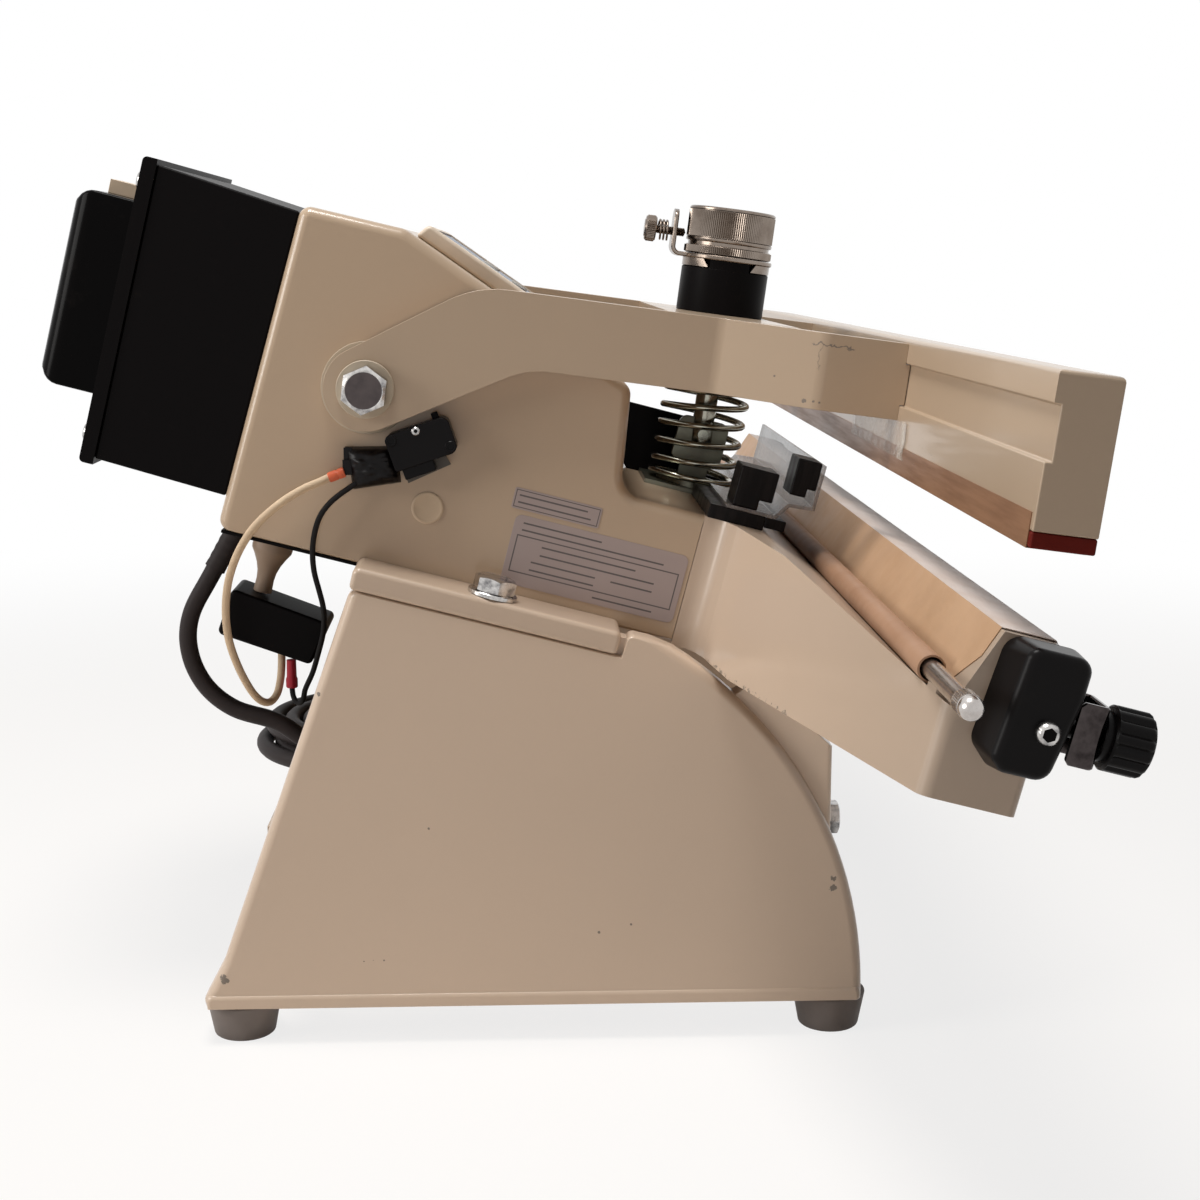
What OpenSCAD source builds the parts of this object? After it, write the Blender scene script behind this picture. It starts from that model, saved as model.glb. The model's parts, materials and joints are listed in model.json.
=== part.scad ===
/* [Stance] */
// Slope of the upper unit, front down, in degrees
tilt = 14.5; // [10:0.5:18]
// Height of the arm pivot above the table
pivot_z = 278; // [265:1:295]
// Place of the arm pivot along the base
pivot_x = -58; // [-70:1:-50]
// Angle that the jaw stands open at rest
open_angle = 7; // [5:0.5:8]

/* [Body] */
// Width of the body across the sides
body_w = 204; // [190:1:204]
// Wall of the body and of the rear housing
wall = 3; // [2:0.5:4]
// From the pivot back to the rear seam of the body
body_rear = 46; // [42:1:52]
// From the pivot forward to the seam with the lower beam
body_front = 151; // [148:0.5:154]
// From the pivot up to the top of the body
body_top = 67; // [62:1:72]
// From the pivot down to the underside of the body
body_depth = 73.5; // [70:0.5:78]
// From the pivot down to the spring shelf
shelf_depth = 17.5; // [16:0.5:19]
// From the pivot forward to the console's front edge
nose_u = 107; // [100:1:110]
// From the pivot up to the console's front edge
nose_w = 27; // [24:1:29]
// Height of the control panel bezel above the console
bezel_h = 7; // [4:0.5:9]
// Length of the control panel bezel down the slope
bezel_len = 88; // [80:1:96]
// Width of the control panel bezel
bezel_w = 164; // [140:1:180]

/* [Rear] */
// Length of the black rear housing
rear_len = 56; // [48:1:64]
// Width of the black rear housing
rear_w = 196; // [180:1:200]
// Thickness of the rear panel
panel_t = 6; // [4:0.5:8]
// Width of the rounded rear cover
cover_w = 150; // [130:1:160]
// Depth of the rounded rear cover
cover_d = 30; // [24:1:36]
// Height of the rounded rear cover
cover_h = 84; // [70:1:96]

/* [Base] */
// Width of the base across the cheeks
base_w = 260; // [256:1:270]
// Thickness of the raised outer cheek
cheek_t = 12; // [8:1:14]
// Wall of the base inside the cheeks
base_wall = 6; // [4:0.5:8]
// Rear tip of the cheek
base_rear_x = -131; // [-136:1:-126]
// Front toe of the cheek
base_front_x = 151; // [148:1:156]
// Front wall of the base
base_wall_x = 137; // [132:1:140]
// Radius of the cheek's front curve
cheek_front_r = 260; // [230:5:320]
// Height of the rubber feet
foot_h = 16; // [12:1:20]
// Diameter of a rubber foot at the top
foot_d = 32; // [26:1:34]
// Thickness of the seat ledge
ledge_t = 10; // [8:0.5:12]
// Rear end of the seat ledge, from the pivot
ledge_rear = 13; // [8:1:18]
// Front end of the seat ledge, from the pivot
ledge_front = 127; // [122:1:130]

/* [Jaw] */
// Thickness of an arm
arm_t = 9.5; // [8:0.5:11]
// Height of an arm
arm_h = 31; // [28:0.5:33]
// Radius of the eye round the pivot
eye_r = 17.5; // [15:0.5:18]
// How far an arm steps outward before the bar
arm_step = 21; // [16:1:24]
// From the pivot to the rear face of the upper bar
bar_u = 216; // [213:0.5:219]
// Width of the upper bar
bar_w = 20; // [18:0.5:22]
// Height of the upper bar
bar_h = 48; // [44:0.5:50]
// Length of the upper bar
bar_len = 700; // [680:2:720]
// Thickness of the red silicone strip
rubber_t = 5; // [3:0.5:6]
// Thickness of the tape on the silicone strip
tape_t = 0.3; // [0.2:0.1:0.5]
// From the pivot to the pull rod
pull_u = 152; // [151:0.5:153]
// Diameter of the pull rod
rod_d = 10.5; // [9:0.5:12]
// Diameter of the pivot bolts
pivot_d = 12; // [10:1:14]
// Diameter of the black pressure sleeve
sleeve_d = 40.6; // [36:0.2:42]
// Height of the black pressure sleeve
sleeve_h = 20.6; // [16:0.2:24]
// Diameter of the pressure knob
knob_d = 40.4; // [36:0.2:42]
// Height of the pressure knob's cap
knob_h = 16; // [12:0.5:20]

/* [Spring] */
// Mean diameter of the return spring
spring_d = 39; // [37:0.5:40]
// Wire of the return spring
wire_d = 3; // [2.5:0.1:3.2]
// Turns of the return spring
spring_turns = 6.5; // [5.5:0.5:7]

/* [Lower beam] */
// Length of the lower beam
beam_len = 670; // [650:2:680]
// Width of the sealing ridge
ridge_w = 17.5; // [14:0.5:18]
// Depth of the beam at its ends, below the ridge
beam_end_depth = 56; // [50:1:60]
// Width of the heating ribbon
ribbon_w = 10; // [5:1:12]
// Thickness of the heating ribbon
ribbon_t = 0.3; // [0.2:0.1:0.5]
// Thickness of the release sheet
sheet_t = 0.3; // [0.2:0.1:0.5]
// Diameter of the spare sheet roll
roll_d = 9.6; // [9:0.1:9.8]
// Diameter of the roll's rod
roll_rod_d = 6.6; // [6:0.1:7]
// Diameter of an end knob
end_knob_d = 21; // [18:0.5:22]
// Length of the clear guard
guard_len = 208; // [180:2:208]

/* [Cords] */
// Diameter of the mains lead
cord_d = 8; // [7:0.5:8]
// Diameter of the pale switch wire
pale_wire_d = 3.4; // [3:0.2:3.6]
// Diameter of the black switch wire
black_wire_d = 2.4; // [1.6:0.2:2.6]

/* [Hidden] */
$fn = 64;
arc_steps = 6;
eps = 0.01;
// Running fit of a pin in its bore, on the radius
fit = 0.05;
// Room between faces that move past each other
clear = 0.3;

cream = [0.86, 0.79, 0.66];
black = [0.08, 0.08, 0.09];
steel = [0.74, 0.74, 0.72];
tan_sheet = [0.72, 0.55, 0.38];

// Half widths
body_y = body_w / 2;
rear_y = rear_w / 2;
base_y = base_w / 2;
panel_y = base_y - cheek_t;
inner_y = panel_y - base_wall;
beam_y = beam_len / 2;
bar_y = bar_len / 2;
guard_y = guard_len / 2;

// Arm planes
disc_t = 1.2;
arm_in = body_y + disc_t + clear;
arm_out = arm_in + arm_t;
arm_front_out = arm_out + arm_step;
arm_top = 47.6;
arm_bottom = arm_top - arm_h;
rise_top = 33.5;
rise_bottom = 29.4;
step_start = 142;
step_len = 40;
bridge_rear = 121;
bridge_front = 176;

// Upper bar heights, in the closed jaw's frame
bar_top = arm_top + 2.1;
bar_bottom = bar_top - bar_h;
rubber_bottom = bar_bottom - rubber_t;
tape_bottom = rubber_bottom - tape_t;
groove_d = 2.2;
groove_low = arm_bottom + 5.9;
groove_high = groove_low + 17;

// Sealing ridge of the lower beam
sheet_top = tape_bottom - clear;
ribbon_top = sheet_top - sheet_t;
ridge_top = ribbon_top - ribbon_t;
ridge_u = bar_u + 3.5;
ridge_front = ridge_u + ridge_w;
beam_front = ridge_front + 3;
valley_u = bar_u - 6;
valley_w = ridge_top - 26.5;
roll_u = valley_u - 3.6;
roll_w = valley_w + 6.6;
beam_bottom = body_depth + 1.5;
beam_end_bottom = -(beam_end_depth - ridge_top);

// Heights in the tilted unit
shelf_w = -shelf_depth;
floor_w = -body_depth;
ledge_w = floor_w + 3.5;
seat_w = ledge_w - ledge_t;
console_angle = atan2(body_top - nose_w, nose_u);
seat_t = 2;
seat_top = shelf_w + seat_t;
link_t = 4;
link_w = 14;
link_head_w = 24;
link_rise = 7;
pin_d = 5;
pin_w = -9.2;
plunger_d = 20;
knob_low = arm_top + sleeve_h + 11.6;

// Places of the fasteners and of the small parts
seat_bolt_u = 71;
seat_bolt_y = body_y + (base_y - body_y) * 17 / 28;
seat_bolt_d = 10 * sqrt((base_y - body_y) / 28);
seat_washer_d = (base_y - body_y) * 21 / 28;
front_bolt_y = inner_y - 14;
front_bolt_z = 89;
front_bolt_d = 8;
foot_rear_x = base_rear_x + 15;
foot_front_x = base_front_x - 12;
foot_y = base_y - foot_d / 2 - 1;
plug_d = 12;
plug_u = 36;
plug_w = -43;
screw_d = 4;
rear_u = -body_rear - 2;
rear_low = floor_w + 14;
rear_high = body_top - 4;
panel_u = rear_u - rear_len;
cover_u = panel_u - panel_t;
cover_low = -34;
block_len = 17;
end_knob_y = beam_y + 5;
end_knob_w = ridge_top - 23.4;
end_shank_d = 6;
lock_w = knob_low + 3;
lock_d = 4;
tab_u = pull_u - knob_d / 2 - 4.8;
tab_t = 2.4;

// Micro switch, its angle follows the arm's lower edge
switch_len = 27.8;
switch_h = 15.9;
switch_t = 10.3;
switch_u = 27.4;
switch_w = -16.4;
switch_angle = 33;
button_out = 2.5;
button_d = 3;
button_at = 9;

// Cord storage
tray_t = 4;
tray_z = 92;
rib_h = 6;
tray_rear_x = -104;
tray_front_x = 60;
coil_x = -63;
coil_r = 58;
coil_step = 8.6;
coil_turns = 6.25;
coil_low_z = tray_z + rib_h + cord_d / 2 + 0.4;
coil_high_z = coil_low_z + coil_step;
coil_flare = 8;
gland_u = -44;
gland_y = -58;
gland_lean = 16;
gland_len = 22;
gland_flange_t = 4;
gland_r = 5.7;
boss_u = -27.2;
boss_r = 4.5;
box_y = [-75, -45];
box_corners = [[-41, -123.6], [2, -127.6], [6, -107.6], [-39, -102.4]];
caps_end = [-97, -70, 143];

// Routes of the free cords, chosen by eye
lead_route = [
    [-135.2, 188.1], [-139.3, 181.2], [-141.9, 175.8], [-143.6, 170], [-144.3, 164.1], [-143.9, 158], [-142.6, 152.2],
    [-140.3, 146.6], [-137.2, 141.5], [-133.2, 137], [-128.5, 133.2], [-123.3, 130.2], [-117.6, 128.2], [-112, 126.7],
    [-107, 125], [-102.4, 122.6], [-98.2, 119.5], [-93, 115.9], [-87.3, 113.3], [-81.3, 111.6]
];
pale_route = [
    [-79, -109, 239], [-84, -110, 236], [-90, -112, 232], [-96, -112, 229],
    [-102, -111, 226], [-106, -110, 222], [-110, -109, 217], [-114, -108, 210], [-117, -106, 202],
    [-119, -104, 193], [-120, -101, 181], [-120, -97, 169], [-117, -93, 159], [-113, -88, 149],
    [-110, -83, 142], [-106, -78, 138], [-103, -73, 140], [-102, -68, 146], [-102, -65, 152]
];
black_route = [
    [-70, -109, 234], [-75, -110, 230], [-79, -109, 225], [-81, -108, 217], [-82, -106, 210], [-82, -104, 201],
    [-80, -102, 192], [-79, -100, 186], [-79, -97, 180], [-80, -93, 172], [-83, -88, 162], [-86, -83.6, 153],
    [-88.8, -80.4, 147], [-90.3, -78.8, 143.6], [-91.1, -77.8, 140], [-92.3, -76.3, 137.8], [-93.9, -74.2, 136.9], [-95.5, -72.1, 137.6],
    [-96.6, -70.6, 139.6]
];

// A point of the tilted unit as [x, z] of the whole
function at_unit(u, w) =
    [pivot_x + u * cos(tilt) + w * sin(tilt), pivot_z - u * sin(tilt) + w * cos(tilt)];
function flat(p) = [p.x, p.y];
// Height at u of the line from a to b
function line_at(a, b, u) = a.y + (b.y - a.y) * (u - a.x) / (b.x - a.x);
function reversed(list) = [for (i = [len(list) - 1:-1:0]) list[i]];
function turned(p, a) = [p.x * cos(a) - p.y * sin(a), p.x * sin(a) + p.y * cos(a)];
function along(p) = p / norm(p);

// Arc that replaces the corner b between a and c
function corner(a, b, c, r) =
    let (p = along(a - b), q = along(c - b), half = acos(p * q) / 2)
    let (hub = b + along(p + q) * r / sin(half), start = b + p * r / tan(half) - hub)
    let (sweep = sign(cross(p, q)) * (2 * half - 180))
    [for (i = [0:arc_steps]) hub + turned(start, sweep * i / arc_steps)];

// Outline of [x, y, radius] points with its corners rounded
function rounded(pts) =
    let (n = len(pts))
    [for (i = [0:n - 1])
        each (pts[i].z == 0
            ? [flat(pts[i])]
            : corner(flat(pts[(i + n - 1) % n]), flat(pts[i]), flat(pts[(i + 1) % n]), pts[i].z))];

// Arc of radius r from p to q, bulging to the left of the way from p to q
function arc_to(p, q, r, n) =
    let (mid = (p + q) / 2, d = norm(q - p) / 2, way = along(q - p))
    let (hub = mid - [-way.y, way.x] * sqrt(r * r - d * d))
    let (half = asin(d / r))
    [for (i = [0:n]) hub + turned(p - hub, -2 * half * i / n)];

// Closed outline moved inward by d
function inset(pts, d) =
    let (n = len(pts))
    [for (i = [0:n - 1])
        let (a = along(pts[(i + 1) % n] - pts[i]), b = along(pts[i] - pts[(i + n - 1) % n]))
        let (m = along([-a.y, a.x] + [-b.y, b.x]))
        pts[i] + m * d / (m * [-a.y, a.x])];
function with_radii(pts, radii) = [for (i = [0:len(pts) - 1]) [pts[i].x, pts[i].y, radii[i]]];

// Strip of thickness t on the left side of a bent line
function side_of(pts, i) =
    let (n = len(pts), a = along(pts[min(i + 1, n - 1)] - pts[min(i, n - 2)]))
    let (b = along(pts[max(i, 1)] - pts[max(i - 1, 0)]), m = along([-a.y, a.x] + [-b.y, b.x]))
    m / (m * [-a.y, a.x]);
function strip(pts, t) =
    concat(pts, reversed([for (i = [0:len(pts) - 1]) pts[i] + side_of(pts, i) * t]));

// Solid of an X-Z outline between two Y planes
module slab(outline, y0, y1) {
    translate([0, y1, 0])
        rotate([90, 0, 0])
            linear_extrude(y1 - y0)
                polygon(outline);
}
module block(x, y, z) {
    translate([x[0], y[0], z[0]])
        cube([x[1] - x[0], y[1] - y[0], z[1] - z[0]]);
}
// Cylinders along X and Y
module bar_x(r, x0, x1) {
    translate([x0, 0, 0]) rotate([0, 90, 0]) cylinder(r = r, h = x1 - x0);
}
module bar_y(r, y0, y1) {
    translate([0, y1, 0]) rotate([90, 0, 0]) cylinder(r = r, h = y1 - y0);
}
module hex(across, h) {
    cylinder(d = across / cos(30), h = h, $fn = 6);
}
module unit() {
    translate([pivot_x, 0, pivot_z]) rotate([0, tilt, 0]) children();
}
// Frame of the jaw, which is the unit's frame when the jaw is shut
module jaw() {
    translate([pivot_x, 0, pivot_z]) rotate([0, tilt - open_angle, 0]) children();
}
// Frame of the console's slope, X down the slope and Z out of it
module console() {
    unit() translate([0, 0, body_top]) rotate([0, console_angle, 0]) children();
}
module both_sides() {
    children();
    mirror([0, 1, 0]) children();
}

// Round tube through a list of points
function heading(path, i) = along(path[min(i + 1, len(path) - 1)] - path[max(i - 1, 0)]);
function ring(path, i, r, n, guide) =
    let (t = heading(path, i), s = along(cross(t, guide)), v = cross(s, t))
    [for (k = [0:n - 1]) path[i] + r * (cos(360 * k / n) * s + sin(360 * k / n) * v)];
function tube_points(path, r, n, guide) =
    [for (i = [0:len(path) - 1]) each ring(path, i, r, n, guide)];
function tube_faces(m, n) =
    concat(
        [for (i = [0:m - 2]) for (k = [0:n - 1])
            let (a = i * n + k, b = i * n + (k + 1) % n)
            each [[a, b, b + n], [a, b + n, a + n]]],
        [for (k = [1:n - 2]) [0, k + 1, k]],
        [for (k = [1:n - 2]) [(m - 1) * n, (m - 1) * n + k, (m - 1) * n + k + 1]]);
module tube(path, d, n, guide) {
    polyhedron(tube_points(path, d / 2, n, guide), tube_faces(len(path), n), convexity = 10);
}
// Least gap of a tube to itself, between points over skip steps apart
function self_gap(path, d, skip) =
    min([for (i = [0:len(path) - 1]) for (j = [i + skip:1:len(path) - 1]) norm(path[i] - path[j])]) - d;

// Base

rear_slope_top = at_unit(ledge_rear + 0.5, seat_w);
front_horn = at_unit(ledge_front + 11, ledge_w);
front_curve = reversed(arc_to(front_horn, [base_front_x, foot_h], cheek_front_r, 16));
cheek_outline = rounded(concat(
    [for (p = front_curve) [p.x, p.y, 0]],
    [
        concat(at_unit(ledge_front + 4, ledge_w), 3),
        concat(at_unit(ledge_front + 2, seat_w), 0),
        concat(rear_slope_top, 4),
        [base_rear_x + 9, foot_h + 21, 12],
        [base_rear_x, foot_h + 4, 3],
        [base_rear_x + 1, foot_h, 0]
    ]
));
panel_outline = [
    [base_wall_x, foot_h],
    [base_wall_x, foot_h + 111],
    at_unit(ledge_front + 57, seat_w - 6),
    at_unit(ledge_front + 2, seat_w - 1),
    at_unit(ledge_rear + 6, seat_w - 1),
    [base_rear_x + 16, foot_h]
];

module base_shell() {
    color(cream)
    difference() {
        union() {
            both_sides() {
                slab(cheek_outline, panel_y, base_y);
                slab(panel_outline, inner_y, panel_y);
            }
            block([base_wall_x - base_wall, base_wall_x], [-inner_y, inner_y], [foot_h, foot_h + 111]);
        }
        both_sides() {
            unit()
                translate([seat_bolt_u, seat_bolt_y, seat_w - 22])
                    cylinder(d = seat_bolt_d + 2 * fit, h = 30);
            translate([0, front_bolt_y, front_bolt_z])
                bar_x(front_bolt_d / 2 + fit, base_wall_x - base_wall - 1, base_wall_x + 1);
        }
    }
}

module cord_tray() {
    rib_xs = [coil_x - 36, coil_x + 36];
    color(cream) {
        block([tray_rear_x, tray_front_x], [-inner_y, inner_y], [tray_z - tray_t, tray_z]);
        for (x = rib_xs)
            block([x - 2, x + 2], [-coil_r, coil_r], [tray_z - eps, tray_z + rib_h]);
    }
}

module rubber_feet() {
    recess_d = 12;
    recess_h = 8;
    taper = 6;
    color([0.36, 0.33, 0.31])
    both_sides()
        for (x = [foot_rear_x, foot_front_x])
            translate([x, foot_y, 0])
                difference() {
                    cylinder(d1 = foot_d - taper, d2 = foot_d, h = foot_h);
                    translate([0, 0, -1]) cylinder(d = recess_d, h = recess_h + 1);
                }
}

module front_bolts() {
    washer_t = 1.6;
    head_t = 5.5;
    color(steel)
    both_sides()
        translate([base_wall_x, front_bolt_y, front_bolt_z]) {
            difference() {
                bar_x(front_bolt_d, 0, washer_t);
                bar_x(front_bolt_d / 2 + fit, -1, washer_t + 1);
            }
            bar_x(front_bolt_d / 2, -base_wall - 6, washer_t);
            translate([washer_t, 0, 0]) rotate([0, 90, 0]) hex(front_bolt_d * 13 / 8, head_t);
        }
}

// Seat of the unit on the base

module seat_frame() {
    color(cream)
    unit()
    difference() {
        union() {
            block([ledge_rear, ledge_front], [-base_y, base_y], [seat_w, floor_w - eps]);
            both_sides()
                slab(
                    rounded([
                        [ledge_rear, seat_w, 0],
                        [ledge_front, seat_w, 0],
                        [ledge_front, ledge_w, 3],
                        [ledge_rear, ledge_w, 3]
                    ]),
                    body_y + clear, base_y);
        }
        both_sides()
            translate([seat_bolt_u, seat_bolt_y, seat_w - 1])
                cylinder(d = seat_bolt_d + 2 * fit, h = ledge_t + 2);
    }
}

module seat_bolts() {
    washer_t = 2;
    head_t = 6.4;
    shank = 28;
    color(steel)
    unit()
    both_sides()
        translate([seat_bolt_u, seat_bolt_y, ledge_w]) {
            difference() {
                cylinder(d = seat_washer_d, h = washer_t);
                translate([0, 0, -1]) cylinder(d = seat_bolt_d + 2 * fit, h = washer_t + 2);
            }
            translate([0, 0, washer_t - shank]) cylinder(d = seat_bolt_d, h = shank);
            translate([0, 0, washer_t]) hex(seat_bolt_d * 1.6, head_t);
        }
}

// Body

// Side outline of the body and the space inside its walls
body_points = [
    [-body_rear - 2, floor_w],
    [body_front, floor_w],
    [body_front, shelf_w],
    [nose_u + 7, shelf_w],
    [nose_u, nose_w],
    [0, body_top],
    [-body_rear + 2.4, body_top - 1]
];
body_outline = rounded(with_radii(body_points, [5, 0, 0, 10, 6, 10, 5]));
body_space = rounded(with_radii(inset(body_points, wall), [0, 0, 0, 13, 3, 7, 0]));
// Rear seam of the body at a height
function rear_seam(w) = -body_rear - 2 + 4.4 * (w - floor_w) / (body_top - 1 - floor_w);

module body_housing() {
    boss_r = pivot_d / 2 + 8;
    boss_len = 20;
    slot = 9;
    color(cream)
    unit()
    difference() {
        union() {
            difference() {
                slab(body_outline, -body_y, body_y);
                slab(body_space, -body_y + wall, body_y - wall);
                block([-body_rear - 9, -body_rear + 9], [-rear_y + 9, rear_y - 9], [rear_low + 9, rear_high - 9]);
                block([body_front - wall - 1, body_front + 1], [-body_y + wall, body_y - wall],
                      [floor_w + wall, shelf_w - wall]);
            }
            both_sides() bar_y(boss_r, body_y - wall - boss_len, body_y - wall + eps);
        }
        both_sides() {
            bar_y(pivot_d / 2 + fit, body_y - wall - boss_len - 1, body_y + 1);
            translate([plug_u, 0, plug_w]) bar_y(plug_d / 2 + fit, body_y - wall - 1, body_y + 1);
        }
        block([pull_u - link_head_w / 2 - 3, body_front + 1], [-slot, slot], [shelf_w - wall - 1, shelf_w + 1]);
    }
}

module side_plugs() {
    flange = 0.8;
    color([0.83, 0.77, 0.65])
    unit()
    both_sides()
        translate([plug_u, 0, plug_w]) {
            bar_y(plug_d / 2, body_y - wall, body_y + eps);
            bar_y(plug_d / 2 + 0.8, body_y, body_y + flange);
        }
}

module rating_plate() {
    plate_t = 0.3;
    plate_u = [73, 149];
    plate_w = [-66, -36];
    tag_u = [70, 108];
    tag_w = [-34, -25];
    color([0.68, 0.66, 0.65])
    unit()
    for (p = [[plate_u, plate_w, 3], [tag_u, tag_w, 1]])
        slab(
            rounded([
                [p[0][0], p[1][0], p[2]],
                [p[0][1], p[1][0], p[2]],
                [p[0][1], p[1][1], p[2]],
                [p[0][0], p[1][1], p[2]]
            ]),
            -body_y - plate_t, -body_y);
}

// Rear

module rear_housing() {
    flare = 2;
    reach = 9;
    color(black)
    unit()
    difference() {
        slab([
            [panel_u, rear_low + flare],
            [rear_seam(rear_low) - 0.02, rear_low],
            [rear_seam(rear_high) - 0.02, rear_high],
            [panel_u, rear_high + 2 * flare]
        ], -rear_y, rear_y);
        slab([
            [panel_u - 1, rear_low + flare + wall],
            [rear_u + reach, rear_low + wall],
            [rear_u + reach, rear_high - wall],
            [panel_u - 1, rear_high + 2 * flare - wall]
        ], -rear_y + wall, rear_y - wall);
    }
}

rear_screw_spots = [for (w = [rear_low + 11, body_top - 8]) for (y = [-rear_y + 10, rear_y - 10]) [y, w]];

module rear_panel() {
    color(black)
    unit()
    difference() {
        slab(
            rounded([
                [cover_u, rear_low - 0.5, 2],
                [panel_u, rear_low - 0.5, 0],
                [panel_u, body_top + 2, 0],
                [cover_u, body_top + 2, 2]
            ]),
            -rear_y - 1, rear_y + 1);
        for (s = rear_screw_spots)
            translate([0, s.x, s.y]) bar_x(screw_d / 2 + fit, cover_u - 1, panel_u + 1);
    }
}

module rear_cover() {
    round_r = 9;
    color(black)
    unit()
    difference() {
        intersection() {
            slab(
                rounded([
                    [cover_u, cover_low, 0],
                    [cover_u, cover_low + cover_h, 0],
                    [cover_u - cover_d, cover_low + cover_h, round_r],
                    [cover_u - cover_d, cover_low, round_r]
                ]),
                -cover_w / 2, cover_w / 2);
            translate([0, 0, cover_low - 1])
                linear_extrude(cover_h + 2)
                    polygon(rounded([
                        [cover_u, -cover_w / 2, 0],
                        [cover_u, cover_w / 2, 0],
                        [cover_u - cover_d, cover_w / 2, round_r],
                        [cover_u - cover_d, -cover_w / 2, round_r]
                    ]));
        }
        block([cover_u - cover_d + wall, cover_u + 1], [-cover_w / 2 + wall, cover_w / 2 - wall],
              [cover_low + wall, cover_low + cover_h - wall]);
    }
}

module rear_screws() {
    head_t = 2.4;
    color(steel)
    unit()
    for (s = rear_screw_spots)
        translate([0, s.x, s.y]) {
            bar_x(screw_d / 2, cover_u - eps, panel_u);
            bar_x(screw_d, cover_u - head_t, cover_u);
        }
}

module wire_clamp() {
    clamp_h = 6;
    color([0.85, 0.8, 0.66])
    unit()
    difference() {
        block([cover_u - 21, cover_u], [-52, -28], [cover_low + cover_h, cover_low + cover_h + clamp_h]);
        translate([cover_u - 11, 0, cover_low + cover_h + clamp_h / 2])
            translate([0, -40, -clamp_h]) cylinder(d = screw_d, h = 2 * clamp_h);
    }
}

// Control panel

bezel_start = 4;
film_t = 0.6;
film_drop = 0.8;
rocker_s = bezel_start + bezel_len - 18;
rocker_y = bezel_w / 2 - 24;
rocker_len = 19;
rocker_w = 13;
rocker_deep = 4;
rocker_room = 1.2;
rocker_axis = -1.06;
rocker_pin = 1.2;

module panel_bezel() {
    rim = 6;
    color([0.84, 0.78, 0.66])
    console()
    difference() {
        slab(
            rounded([
                [bezel_start, 0, 0],
                [bezel_start + bezel_len, 0, 0],
                [bezel_start + bezel_len - 2, bezel_h, 3],
                [bezel_start + 2, bezel_h, 3]
            ]),
            -bezel_w / 2, bezel_w / 2);
        block([bezel_start + rim, rocker_s - rocker_len / 2 - 4], [-bezel_w / 2 + rim, bezel_w / 2 - rim],
              [bezel_h - film_drop - film_t, bezel_h + 1]);
        block([rocker_s - rocker_len / 2 - rocker_room, rocker_s + rocker_len / 2 + rocker_room],
              [rocker_y - rocker_w / 2 - clear, rocker_y + rocker_w / 2 + clear], [-1, bezel_h + 1]);
        translate([rocker_s, 0, bezel_h + rocker_axis])
            bar_y(rocker_pin + 0.05, rocker_y - rocker_w / 2 - 2, rocker_y + rocker_w / 2 + 2);
    }
}

module panel_film() {
    rim = 6.3;
    color([0.45, 0.5, 0.58])
    console()
        block([bezel_start + rim, rocker_s - rocker_len / 2 - 4.3], [-bezel_w / 2 + rim, bezel_w / 2 - rim],
              [bezel_h - film_drop - film_t, bezel_h - film_drop]);
}

module power_rocker() {
    crest = 1.8;
    color(black)
    console()
        translate([rocker_s, 0, bezel_h]) {
            translate([0, 0, rocker_axis])
                bar_y(rocker_pin, rocker_y - rocker_w / 2 - 1.6, rocker_y + rocker_w / 2 + 1.6);
            slab([
                [-rocker_len / 2, -2],
                [-rocker_len / 2 + 3, -rocker_deep],
                [rocker_len / 2 - 3, -rocker_deep],
                [rocker_len / 2, -2],
                [rocker_len / 2, crest + 1.4],
                [0, crest - 0.8],
                [-rocker_len / 2, crest - 0.6]
            ], rocker_y - rocker_w / 2, rocker_y + rocker_w / 2);
        }
}

module circuit_board() {
    board_t = 1.6;
    post_h = 6;
    board_s = [12, 92];
    color([0.1, 0.35, 0.2])
    console() {
        block(board_s, [-80, 80], [-wall - post_h - board_t, -wall - post_h]);
        for (s = [board_s[0] + 6, board_s[1] - 12]) for (y = [-72, 72])
            translate([s, y, -wall - post_h - eps]) cylinder(d = 6, h = post_h);
    }
}

module transformer() {
    core_u = [-30, 40];
    core_y = [-30, 30];
    core_h = 60;
    leg = 14;
    low = floor_w + wall;
    color([0.35, 0.34, 0.33])
    unit() {
        difference() {
            block(core_u, core_y, [low, low + core_h]);
            for (s = [0, 1])
                block([core_u[0] + leg + s * 28, core_u[0] + leg + s * 28 + leg], [-31, 31],
                      [low + leg, low + core_h - leg]);
        }
        difference() {
            block([core_u[0] + leg + 0.3, core_u[1] - leg - 0.3], [-44, 44],
                  [low + leg + 0.3, low + core_h - leg - 0.3]);
            block([core_u[0] + 2 * leg - 0.3, core_u[1] - 2 * leg + 0.3], [-30.3, 30.3],
                  [low + leg - 1, low + core_h - leg + 1]);
        }
    }
}

// Pull mechanism

sol_half = 24;
sol_low = floor_w + wall;
sol_top = shelf_w - 9;
sol_plate = 5;
stroke = 2 * pull_u * sin(open_angle / 2);
plunger_top = sol_top + 4;
plunger_len = plunger_top - sol_low - sol_plate - stroke - 0.4;

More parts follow.
